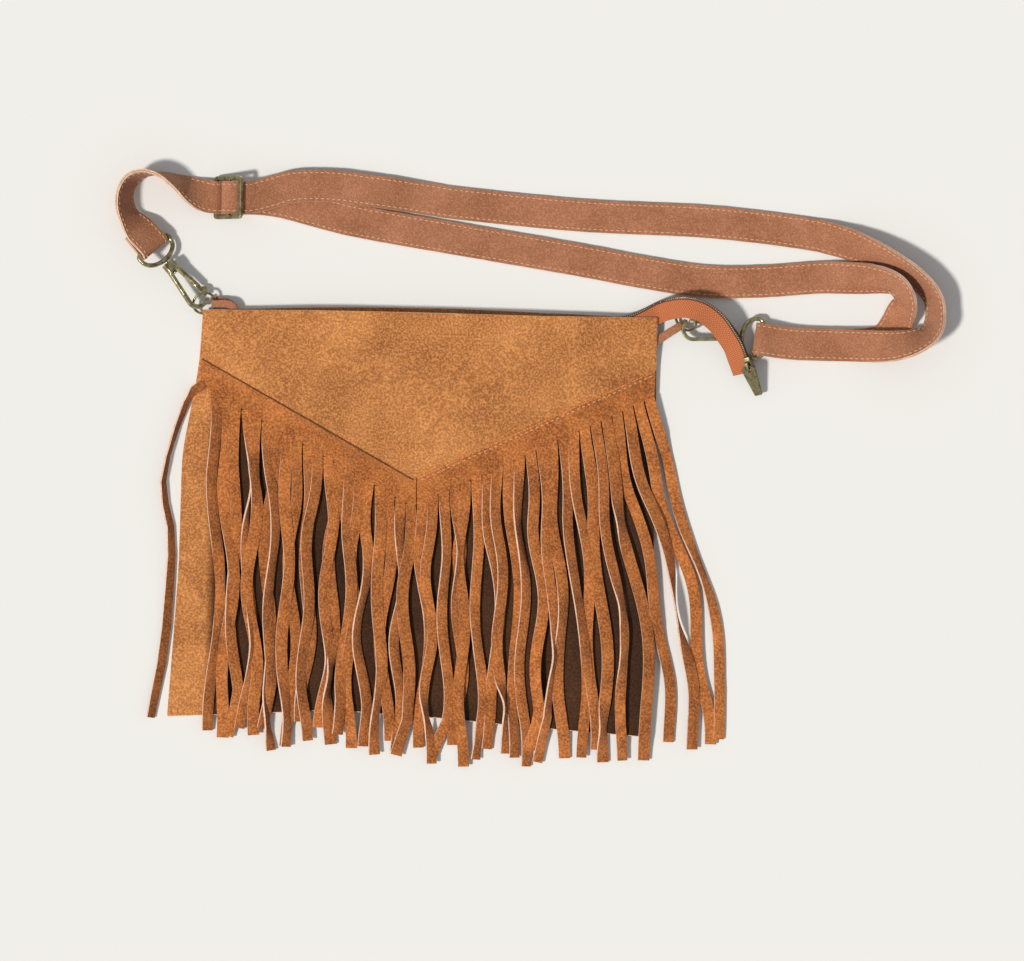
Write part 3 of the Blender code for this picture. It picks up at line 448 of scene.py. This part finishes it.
def fringe_piece(name, points, faces, tones, edges, node):
    """Make the fringe's mesh, in metres, with its cut sides in the pale finish."""
    mesh = bpy.data.meshes.new(name)
    mesh.from_pydata([p / 1000 for p in points], [], faces)
    mesh.materials.append(fringe_suede)
    mesh.materials.append(cut_edge)
    for face, edge in zip(mesh.polygons, edges):
        face.material_index = edge
    marks = mesh.attributes.new("tone", "FLOAT_COLOR", "POINT")
    for mark, tone in zip(marks.data, tones):
        mark.color = (tone, tone, tone, 1.0)
    piece = bpy.data.objects.new(name, mesh)
    bpy.context.scene.collection.objects.link(piece)
    deselect()
    bpy.context.view_layer.objects.active = piece
    piece.select_set(True)
    bpy.ops.object.mode_set(mode="EDIT")
    bpy.ops.mesh.select_all(action="SELECT")
    bpy.ops.mesh.normals_make_consistent(inside=False)
    bpy.ops.object.mode_set(mode="OBJECT")
    finish(piece, "bag", "fringe_suede", node, angle=45.0)


for side, tips, first, last in (("left", LEFT_TIPS, V_LEFT[0] + 6.46, V_POINT[0] + 2.3),
                                ("right", RIGHT_TIPS, V_POINT[0] + 2.9, V_RIGHT[0])):
    points, faces, tones, edges = [], [], [], []
    header_mesh(V_LEFT[0] if side == "left" else first, last, points, faces, tones, edges)
    pitch = (last - first) / len(tips)
    for index, (tip_x, tip_y, bow) in enumerate(tips):
        root_x = first + pitch * (index + 0.5)
        root_y = v_line(root_x) - HEADER_DROP + 0.2
        path = strip_path(root_x, root_y, (tip_x, tip_y), bow, index + (40 if side == "right" else 0))
        rolls = [(random.uniform(-0.6, 0.8), random.uniform(0.15, 0.95), random.uniform(0.06, 0.16))
                 for _ in range(3)]
        strip_mesh(path, random.uniform(6.5, 7.6), (0.0, 1.9, 0.9)[index % 3], rolls,
                   random.uniform(0.12, 0.55), random.uniform(0.88, 1.18), pitch, points, faces, tones, edges)
    if side == "left":
        far = [(-130.2, 77.5), (-137.5, 73.5), (-142.0, 66.0), (-147.8, 50.0), (-153.0, 32.0), (-155.6, 16.0),
               (-154.0, 2.0), (-150.6, -12.0), (-149.6, -30.0), (-150.6, -52.0), (-152.0, -75.0),
               (-154.6, -98.0), (-158.4, -118.0), (-160.7, -131.3)]
        path = []
        for a, b in zip(far, far[1:]):
            path += [(a[0] + (b[0] - a[0]) * k / 4, a[1] + (b[1] - a[1]) * k / 4) for k in range(4)]
        strip_mesh(path + [far[-1]], 5.8, 0.0, [(0.3, 0.3, 0.1), (-0.5, 0.8, 0.2)], 0.95, 0.72, 6.4,
                   points, faces, tones, edges)
    fringe_piece("fringe_" + side + "_suede", points, faces, tones, edges, "fringe_" + side)


# Strap: two layers of browner suede glued back to back and stitched along both edges. It comes
# from the buckle, turns round the bar of each hook's loop and is folded, not sewn, at the bends.
STRAP_WIDTH, STRAP_THICK, LAYER_THICK, LOOP_WIRE, CLEAR = 20.0, 2.4, 1.1, 1.5, 0.3
BUCKLE_FOLD, HOOK_FOLD = 13.0, 14.0           # how far back from a bar the strap lies double
BUCKLE_AT, BUCKLE_BAR = Vector((-118.0, 193.8, 7.6)), 2.5
UPPER_RUN = [(-100, 195.0, 7.4, 0), (-90, 198.0, 5.9, 0), (-77, 201.8, 4.8, 0), (-53, 202.4, 4.1, 0),
             (-34, 200.4, 4.1, 0), (-14, 198.2, 3.6, 0), (8, 195.4, 1.6, 0), (30, 192.8, 1.3, 0),
             (103, 187.1, 1.3, 0), (180, 184.8, 1.3, 0), (240, 179.0, 1.3, 0), (262, 174.6, 3.6, 14),
             (280, 168.6, 7.2, 38), (298, 160.2, 9.2, 54), (313, 150.6, 9.8, 62), (322.5, 139.0, 10.0, 64),
             (323.7, 127.5, 10.2, 62),
             (319.6, 117.4, 14.8, 54), (308.5, 111.2, 16.0, 38), (296, 108.9, 13.0, 20), (283, 108.8, 8.6, 6),
             (268, 109.2, 5.2, 0), (252, 109.4, 4.4, 0), (240, 109.4, 5.0, 0)]
LOWER_RUN = [(240, 109.4, 1.9, 180), (252, 109.3, 1.3, 180), (266, 109.3, 1.3, 180), (281, 110.2, 1.3, 180),
             (291, 112.4, 1.4, 178), (296.6, 117.2, 2.0, 176), (300.2, 123.2, 2.6, 173),
             (302.4, 128.6, 5.4, 156), (304.4, 134.6, 8.8, 136), (304.2, 141.0, 9.6, 120),
             (299.4, 147.2, 9.4, 122), (291.0, 150.2, 7.8, 136), (280, 151.2, 4.9, 156),
             (266, 151.4, 2.6, 173), (250, 151.2, 1.4, 180),
             (216, 148.2, 1.3, 180), (180, 147.6, 1.3, 180), (142, 152.4, 1.3, 180), (104, 158.9, 1.3, 180),
             (39, 168.9, 1.3, 180), (-5, 175.6, 1.3, 180), (-41, 181.6, 1.3, 180), (-64.8, 187.2, 1.3, 180),
             (-84, 192.0, 1.3, 180), (-100, 193.8, 1.3, 180), (-113, 193.8, 1.3, 180),
             (-118.6, 193.8, 1.4, 180), (-122.2, 193.8, 3.4, 180), (-125.4, 193.8, 5.5, 180),
             (-131, 194.2, 6.2, 186), (-140, 197.4, 7.4, 214), (-149.5, 202.4, 9.2, 242),
             (-160.5, 207.2, 10.2, 262), (-170.5, 207.8, 10.4, 276),
             (-178.6, 203.4, 10.2, 287), (-182.6, 194.5, 10.2, 292), (-181.4, 183.6, 10.4, 300)]


def spline_through(points, spacing):
    """Run a smooth curve through rows of numbers, with a row about every so many millimetres."""
    rows = [Vector(p) for p in points]
    rows = [rows[0] * 2 - rows[1]] + rows + [rows[-1] * 2 - rows[-2]]
    result = []
    for a, b, c, d in zip(rows, rows[1:], rows[2:], rows[3:]):
        steps = max(2, round((c - b).length / spacing))
        for step in range(steps):
            t = step / steps
            result.append(0.5 * (2 * b + (c - a) * t + (2 * a - 5 * b + 4 * c - d) * t * t
                                 + (3 * b - a - 3 * c + d) * t ** 3))
    return result + [rows[-2]]


def leaned_side(ahead, degrees):
    """Direction to a band's left edge, leaned up by the angle, at right angles to its route."""
    lean = math.radians(degrees)
    left = Vector((-ahead.y, ahead.x, 0)).normalized()
    return (left * math.cos(lean) + ahead.cross(left) * math.sin(lean)).normalized()


def hook_bar(side):
    """Middle of the bar that the strap turns round, the bar's direction, and the way to the hook's tip."""
    joints = {joint["name"]: joint for joint in frame["joints"]}
    tilt, swivel = joints[side + "_loop_tilt"], joints[side + "_swivel"]
    return Vector(tilt["pos_m"]) * 1000, Vector(tilt["axis"]), Vector(swivel["axis"])


def band_frames(route, spacing=4.0, floor_clear=True):
    """Middle and edge direction along a band whose rows hold x, y, z and lean in degrees."""
    rows = spline_through(route, spacing)
    frames = []
    for index, row in enumerate(rows):
        ahead = Vector((rows[min(index + 1, len(rows) - 1)] - rows[max(index - 1, 0)])[:3]).normalized()
        lean = math.radians(row[3])
        lowest = STRAP_WIDTH / 2 * abs(math.sin(lean)) + STRAP_THICK / 2 * abs(math.cos(lean)) + 0.08
        height = max(row[2], lowest) if floor_clear else row[2]
        frames.append((Vector((row[0], row[1], height)), leaned_side(ahead, row[3])))
    return frames


def fold_round(bar, side, ahead, start_up, reach, turn=STRAP_THICK / 2 + LOOP_WIRE + CLEAR):
    """Frames of a strap that comes in along ahead, turns round a bar and goes back."""
    up = ahead.cross(side)
    up = up if up.z * start_up > 0 else -up
    frames = []
    for share in (1.0, 0.72, 0.45, 0.2):
        ease = share * share * (3 - 2 * share)
        spread = turn + (STRAP_THICK / 2 + CLEAR - turn) * ease
        frames.append((bar - ahead * reach * share + up * spread, side))
    back = [(middle - up * ((middle - bar).dot(up) * 2), side) for middle, side in reversed(frames)]
    for step in range(9):
        angle = math.pi * step / 8
        frames.append((bar + (up * math.cos(angle) + ahead * math.sin(angle)) * turn, side))
    return frames + back


def ribbon(name, frames, width, thick, shift, materials, dents=0.0, ragged=0.0, seed=0.0):
    """Make one closed layer along the frames, with a UV of metres along and nought to one across."""
    columns = (-1.0, -0.81, -0.4, 0.4, 0.81, 1.0)
    length, points, faces, kinds, run = 0.0, [], [], [], []
    for index, (middle, side) in enumerate(frames):
        before, after = frames[max(index - 1, 0)][0], frames[min(index + 1, len(frames) - 1)][0]
        normal = (after - before).normalized().cross(side).normalized()
        length += (middle - before).length
        run.append(length)
        wide = width / 2 + ragged * noise.noise(Vector((length * 0.35, seed, 2.0)))
        for level in (1, -1):
            for k in columns:
                sunk = dents if abs(k) == 0.81 and level * shift >= 0 else 0.0
                raised = shift + level * (thick / 2 - sunk)
                points.append((middle + side * wide * k + normal * raised) / 1000)
    for a in range(0, len(frames) - 1):
        for k in range(5):
            p, q = a * 12 + k, (a + 1) * 12 + k
            faces += [(p, q, q + 1, p + 1), (p + 6, p + 7, q + 7, q + 6)]
            kinds += [0, 0]
        p, q = a * 12, (a + 1) * 12
        faces += [(p + 6, q + 6, q, p), (p + 5, q + 5, q + 11, p + 11)]
        kinds += [1, 1]
    last = (len(frames) - 1) * 12
    for k in range(5):
        faces += [(k, k + 1, k + 7, k + 6), (last + k + 1, last + k, last + k + 6, last + k + 7)]
        kinds += [1, 1]
    mesh = bpy.data.meshes.new(name)
    mesh.from_pydata(points, [], faces)
    for material in materials:
        mesh.materials.append(material)
    layer = mesh.uv_layers.new(name="UVMap")
    for face, kind in zip(mesh.polygons, kinds):
        face.material_index = kind
        for corner in face.loop_indices:
            vertex = mesh.loops[corner].vertex_index
            layer.data[corner].uv = (run[vertex // 12] / 1000, (columns[vertex % 6] + 1) / 2)
    piece = bpy.data.objects.new(name, mesh)
    bpy.context.scene.collection.objects.link(piece)
    deselect()
    bpy.context.view_layer.objects.active = piece
    piece.select_set(True)
    bpy.ops.object.mode_set(mode="EDIT")
    bpy.ops.mesh.select_all(action="SELECT")
    bpy.ops.mesh.normals_make_consistent(inside=False)
    bpy.ops.object.mode_set(mode="OBJECT")
    crisp(piece, 60.0)
    soft = piece.modifiers.new("soft", "SUBSURF")
    soft.levels = soft.render_levels = 1
    apply_all(piece)
    return piece


strap_suede = suede("strap_suede", (0.50, 0.215, 0.110), (0.27, 0.098, 0.044), grain=1000.0, patch=40.0)
bar_corner = BUCKLE_BAR * 0.71                # half the diagonal of the buckle's square middle bar
strap_frames = fold_round(BUCKLE_AT, Vector((0, 1, 0)), Vector((-1, 0, 0)), -1, BUCKLE_FOLD,
                          STRAP_THICK / 2 + bar_corner + CLEAR)
strap_frames += band_frames(UPPER_RUN)
bar, across, ahead = hook_bar("right")
strap_frames += fold_round(bar, -across, ahead, 1, HOOK_FOLD)
strap_frames += band_frames(LOWER_RUN)
bar, across, ahead = hook_bar("left")
strap_frames += fold_round(bar, across, ahead, 1, HOOK_FOLD)
for label, shift in (("outer", STRAP_THICK / 4), ("inner", -STRAP_THICK / 4)):
    layer = ribbon("strap_" + label + "_layer", strap_frames, STRAP_WIDTH, LAYER_THICK, shift,
                   (strap_suede, cut_edge), dents=0.12, ragged=0.25, seed=shift)
    finish(layer, "bag", "strap_suede", "strap")


# Stitches: thick pale thread, along both edges of the strap and below the header of the fringe,
# where it stands proud of the nap. One stitch is modelled and copied along each seam.
STITCH_PITCH, STRAP_STITCH, HEADER_STITCH, THREAD_THICK, THREAD_FLAT = 3.5, 2.3, 2.1, 0.64, 0.60
SEAM_IN, HEADER_SEAM_IN = 1.9, 2.4            # from the strap's edge and from the header's top edge


def repeat(model, places, name):
    """Merge copies of a small model at many places into one mesh, then drop the model."""
    corners = [v.co.copy() for v in model.data.vertices]
    shapes = [tuple(p.vertices) for p in model.data.polygons]
    points, faces = [], []
    for place in places:
        start = len(points)
        points += [place @ corner for corner in corners]
        faces += [tuple(start + k for k in shape) for shape in shapes]
    mesh = bpy.data.meshes.new(name)
    mesh.from_pydata(points, [], faces)
    mesh.materials.append(model.data.materials[0])
    piece = bpy.data.objects.new(name, mesh)
    bpy.context.scene.collection.objects.link(piece)
    bpy.data.objects.remove(model)
    return piece


def stand(middle, x_axis, z_axis):
    """Matrix that puts a model at a point in millimetres, its X along one vector and its Z near another."""
    x_axis = Vector(x_axis).normalized()
    y_axis = Vector(z_axis).cross(x_axis).normalized()
    turn = Matrix((x_axis, y_axis, x_axis.cross(y_axis))).transposed().to_4x4()
    return Matrix.Translation(Vector(middle) / 1000) @ turn


def stitch_model(length, material):
    """One stitch lying along X: a thread that dips into the suede at both ends."""
    deselect()
    bpy.ops.mesh.primitive_uv_sphere_add(segments=8, ring_count=5, radius=1.0, rotation=(0, math.pi / 2, 0))
    model = bpy.context.object
    bpy.ops.object.transform_apply(rotation=True)
    model.scale = (length / 2000, THREAD_THICK / 2000, THREAD_FLAT / 2000)
    bpy.ops.object.transform_apply(scale=True)
    model.data.materials.append(material)
    return model


pale_thread = plain_material("pale_thread", (0.66, 0.40, 0.25), 0.85)[0]
brown_thread = plain_material("brown_thread", (0.42, 0.19, 0.09), 0.85)[0]


def seam_places(frames, across, height, pitch):
    """Places of the stitches at one distance across a band, on the side that the height points to."""
    line = []
    for index, (middle, side) in enumerate(frames):
        before, after = frames[max(index - 1, 0)][0], frames[min(index + 1, len(frames) - 1)][0]
        normal = (after - before).normalized().cross(side).normalized()
        line.append((middle + side * across + normal * height, normal * (1 if height > 0 else -1)))
    places, left = [], pitch
    for (a, up), (b, _) in zip(line, line[1:]):
        gap = (b - a).length
        while left < gap:
            places.append(stand(a + (b - a) * (left / gap), b - a, up))
            left += pitch
        left -= gap
    return places


seams = []
for across in (SEAM_IN - STRAP_WIDTH / 2, STRAP_WIDTH / 2 - SEAM_IN):
    for height in (STRAP_THICK / 2, -STRAP_THICK / 2):
        seams += seam_places(strap_frames, across, height, STITCH_PITCH)
strap_stitches = repeat(stitch_model(STRAP_STITCH, pale_thread), seams, "strap_stitches")
finish(strap_stitches, "bag", "strap_suede", "strap")


def header_places(first, last, drop):
    """Places of the stitches below one arm of the V, on the header."""
    places = []
    count = round(math.dist((first, v_line(first)), (last, v_line(last))) / STITCH_PITCH)
    for index in range(count):
        x = first + (last - first) * (index + 0.5) / count
        y = v_line(x) - drop
        slope = Vector((last - first, v_line(last) - v_line(first), 0)).normalized()
        down = Vector((slope.y, -slope.x, 0)) * (1 if slope.x > 0 else -1)
        spot = header_top.ray_cast(Vector((x, y, 100)) / 1000, Vector((0, 0, -1)))
        if spot[0]:
            places.append(stand(spot[0] * 1000 + Vector((0, 0, 0.08)), slope, spot[1]))
    return places


for side, first, last, thread in (("left", V_LEFT[0] + 2, V_POINT[0] - 1, brown_thread),
                                  ("right", V_POINT[0] + 5, V_RIGHT[0] - 1, pale_thread)):
    sheet = bpy.data.objects["fringe_" + side + "_suede"].data
    header_top = tree_of(sheet)
    places = header_places(first, last, HEADER_SEAM_IN)
    row = repeat(stitch_model(HEADER_STITCH, thread), places, side + "_header_stitches")
    finish(row, "bag", "fringe_suede", "fringe_" + side)


# Zip: two woven herringbone tapes with a row of small brass teeth along the inner edge of each.
# They're sewn into the mouth and run out past the right corner, where they stay zipped together.
TAPE_WIDTH, TAPE_THICK, CORD_WIDTH, CORD_THICK = 11.4, 0.5, 1.8, 0.7
TEETH_HIGH, TEETH_PITCH = 1.0, 1.28
TOOTH = (0.00060, 0.00100, 0.00090)           # metres: along the tape, across it and high
TAPE_INSIDE = [(-104, 115.0), (-60, 115.4), (0, 115.4), (70, 114.8), (112, 115.0), (132, 117.4), (143, 121.6)]
TAIL_ROUTE = [(153.0, 127.0, 4.6, 0), (159.5, 128.8, 11.0, 0), (167.5, 129.8, 15.6, 0),
              (177.0, 127.6, 17.2, 0), (186.0, 121.4, 15.6, 12), (192.8, 113.6, 12.6, 22)]
TAIL_END, TAIL_HEADING = Vector((204.4, 90.4, 3.7)), Vector((0.36, -0.87, -0.33)).normalized()
TAIL_STRAIGHT, TAIL_TILT, TAPE_PITCH = 19.0, 25.0, 1.6
FRONT_LEAST = 6.22                            # the front tape runs level over both corners of the mouth


def tape_rows(front):
    """Route of one tape: along its panel's inner face, then over the hook and down the straight end."""
    panel = tree_of(frame["nodes"]["front_panel" if front else "back_panel"].data)
    way = 1 if front else -1
    rows = []
    for x, y in TAPE_INSIDE:
        inner = panel.ray_cast(Vector((x, y, -100.0 * way)) / 1000, Vector((0, 0, way)))[0].z * 1000
        height = inner - way * (CLEAR + TEETH_HIGH / 2)
        rows.append((x, y, max(height, FRONT_LEAST) if front else height, 0))
    start = TAIL_END - TAIL_HEADING * TAIL_STRAIGHT
    straight = [(*(start + TAIL_HEADING * TAIL_STRAIGHT * k / 3), TAIL_TILT) for k in range(4)]
    for x, y, z, lean in TAIL_ROUTE + straight:
        away = TAIL_HEADING.cross(leaned_side(TAIL_HEADING, lean)) if lean > 20 else Vector((0, 0, 1))
        rows.append((*(Vector((x, y, z)) + away * way * TAPE_PITCH / 2), lean))
    return rows


tape_weave, nodes, links, shader = plain_material("tape_weave", (0.50, 0.15, 0.05), 0.9)
place = nodes.new("ShaderNodeUVMap")
place.uv_map = "UVMap"
split = nodes.new("ShaderNodeSeparateXYZ")
links.new(place.outputs["UV"], split.inputs["Vector"])
zig = nodes.new("ShaderNodeMath")
zig.operation = "PINGPONG"
zig.inputs[1].default_value = 0.10
links.new(split.outputs["Y"], zig.inputs[0])
slant = nodes.new("ShaderNodeMath")
slant.operation = "MULTIPLY_ADD"
slant.inputs[1].default_value = 0.016
links.new(zig.outputs[0], slant.inputs[0])
links.new(split.outputs["X"], slant.inputs[2])
twill = nodes.new("ShaderNodeMath")
twill.operation = "MULTIPLY"
twill.inputs[1].default_value = 4000.0
links.new(slant.outputs[0], twill.inputs[0])
wave = nodes.new("ShaderNodeMath")
wave.operation = "SINE"
links.new(twill.outputs[0], wave.inputs[0])
ridge = nodes.new("ShaderNodeMapRange")
ridge.inputs["From Min"].default_value = -1.0
links.new(wave.outputs[0], ridge.inputs["Value"])
tint = nodes.new("ShaderNodeMix")
tint.data_type = "RGBA"
tint.inputs["A"].default_value = (0.25, 0.062, 0.020, 1.0)
tint.inputs["B"].default_value = (0.62, 0.190, 0.068, 1.0)
links.new(ridge.outputs["Result"], tint.inputs["Factor"])
links.new(tint.outputs["Result"], shader.inputs["Base Color"])
weave_bump = nodes.new("ShaderNodeBump")
weave_bump.inputs["Strength"].default_value = 0.5
weave_bump.inputs["Distance"].default_value = 0.0002
links.new(ridge.outputs["Result"], weave_bump.inputs["Height"])
links.new(weave_bump.outputs["Normal"], shader.inputs["Normal"])
cord = plain_material("zip_cord", (0.085, 0.035, 0.020), 0.9)[0]


def brass(name, light, dark, rough, scale):
    """Old brass: dark in patches, worn to bare metal between them."""
    material, nodes, links, shader = plain_material(name, light, rough, 1.0)
    place = nodes.new("ShaderNodeTexCoord")
    patina = nodes.new("ShaderNodeTexNoise")
    patina.inputs["Scale"].default_value = scale
    patina.inputs["Detail"].default_value = 5.0
    patina.inputs["Roughness"].default_value = 0.65
    links.new(place.outputs["Object"], patina.inputs["Vector"])
    spread = nodes.new("ShaderNodeMapRange")
    spread.inputs["From Min"].default_value = 0.38
    spread.inputs["From Max"].default_value = 0.62
    links.new(patina.outputs["Fac"], spread.inputs["Value"])
    tint = nodes.new("ShaderNodeMix")
    tint.data_type = "RGBA"
    tint.inputs["A"].default_value = (*dark, 1.0)
    tint.inputs["B"].default_value = (*light, 1.0)
    links.new(spread.outputs["Result"], tint.inputs["Factor"])
    links.new(tint.outputs["Result"], shader.inputs["Base Color"])
    dull = nodes.new("ShaderNodeMapRange")
    dull.inputs["To Min"].default_value = rough + 0.18
    dull.inputs["To Max"].default_value = rough
    links.new(spread.outputs["Result"], dull.inputs["Value"])
    links.new(dull.outputs["Result"], shader.inputs["Roughness"])
    return material


tooth_brass = brass("tooth_brass", (0.80, 0.66, 0.44), (0.50, 0.40, 0.24), 0.30, 900.0)
dark_brass = brass("dark_brass", (0.34, 0.29, 0.16), (0.12, 0.10, 0.055), 0.34, 420.0)


def tooth_model():
    """One tooth along X: a block with its top edges rounded off."""
    deselect()
    bpy.ops.mesh.primitive_cube_add(size=1.0)
    model = bpy.context.object
    model.scale = TOOTH
    bpy.ops.object.transform_apply(scale=True)
    round_off = model.modifiers.new("round_off", "BEVEL")
    round_off.width = 0.00018
    round_off.segments = 1
    apply_all(model)
    model.data.materials.append(tooth_brass)
    return model


for label in ("front", "back"):
    frames = band_frames(tape_rows(label == "front"), floor_clear=False)
    tape = ribbon("zip_tape_" + label + "_weave", frames, TAPE_WIDTH, TAPE_THICK, 0.0, (tape_weave, cord))
    finish(tape, "bag", "zip_tape", "zip_tape_" + label)
    edge = [(middle + side * (TAPE_WIDTH / 2 + 1.0), side) for middle, side in frames]
    ridge_cord = ribbon("zip_cord_" + label, edge, CORD_WIDTH, CORD_THICK, 0.0, (cord, cord))
    finish(ridge_cord, "bag", "zip_metal", "zip_chain_" + label)
    places = seam_places(frames, TAPE_WIDTH / 2 + 1.05, 0.001, TEETH_PITCH)
    teeth = repeat(tooth_model(), places, "zip_teeth_" + label)
    finish(teeth, "bag", "zip_metal", "zip_chain_" + label)


def machined(node, name, material, width, segments=2):
    """Copy a metal piece of the frame and break its edges."""
    piece = copy_of(node, name)
    piece.data.materials.append(material)
    bevel = piece.modifiers.new("broken_edges", "BEVEL")
    bevel.width = width
    bevel.segments = segments
    bevel.limit_method = "ANGLE"
    bevel.angle_limit = math.radians(35)
    bevel.use_clamp_overlap = True
    apply_all(piece)
    return piece


finish(machined("zip_stop", "zip_stop_brass", dark_brass, 0.0002), "bag", "zip_metal", "zip_stop")
finish(machined("zip_slider", "zip_slider_brass", dark_brass, 0.0003), "slider", "zip_metal", "zip_slider")
finish(machined("zip_pull", "zip_pull_brass", dark_brass, 0.0005, 1), "pull", "zip_metal", "zip_pull",
       angle=15.0)


# Hardware: cast and antiqued brass. The hooks, their loops and the buckle come out of a mould
# with soft edges; rings are bent from wire, gates are stamped, and pins are cut from rod.
antique = brass("antique_brass", (0.56, 0.48, 0.27), (0.17, 0.145, 0.075), 0.26, 260.0)


def cast(node, name, voxel=0.00022):
    """Copy a metal piece of the frame and round it all over, as a casting is."""
    piece = copy_of(node, name)
    deselect()
    piece.select_set(True)
    bpy.context.view_layer.objects.active = piece
    remesh = piece.modifiers.new("skin", "REMESH")
    remesh.mode = "VOXEL"
    remesh.voxel_size = voxel
    smooth = piece.modifiers.new("rounding", "SMOOTH")
    smooth.factor = 0.5
    smooth.iterations = 6
    apply_all(piece)
    piece.data.materials.clear()
    piece.data.materials.append(antique)
    return piece


for side in ("left", "right"):
    finish(cast("hook_" + side + "_loop", side + "_loop_casting"), side + "_loop", "antique_brass",
           "hook_" + side + "_loop", angle=80.0)
    finish(cast("hook_" + side + "_body", side + "_hook_casting"), side + "_hook", "antique_brass",
           "hook_" + side + "_body", angle=80.0)
    gate = machined("hook_" + side + "_gate", side + "_gate_stamping", antique, 0.00025)
    finish(gate, side + "_gate", "antique_brass", "hook_" + side + "_gate")
    pin = machined("hook_" + side + "_gate_pin", side + "_gate_rivet", antique, 0.00015)
    finish(pin, side + "_hook", "antique_brass", "hook_" + side + "_gate_pin")
    finish(cast("ring_" + side, side + "_ring_wire", 0.0002), side + "_ring", "antique_brass", "ring_" + side,
           angle=80.0)
finish(cast("strap_buckle", "buckle_casting"), "bag", "antique_brass", "strap_buckle", angle=80.0)


# Tabs: a short strip of the strap's suede at each top corner, folded round the ring, with both
# ends sewn into the corner between the panels.
for side in ("left", "right"):
    tab = copy_of("tab_" + side, side + "_tab_suede")
    tab.data.materials.append(strap_suede)
    crisp(tab, 60.0)
    soft = tab.modifiers.new("soft", "SUBSURF")
    soft.levels = soft.render_levels = 2
    apply_all(tab)
    finish(tab, "bag", "strap_suede", "tab_" + side)
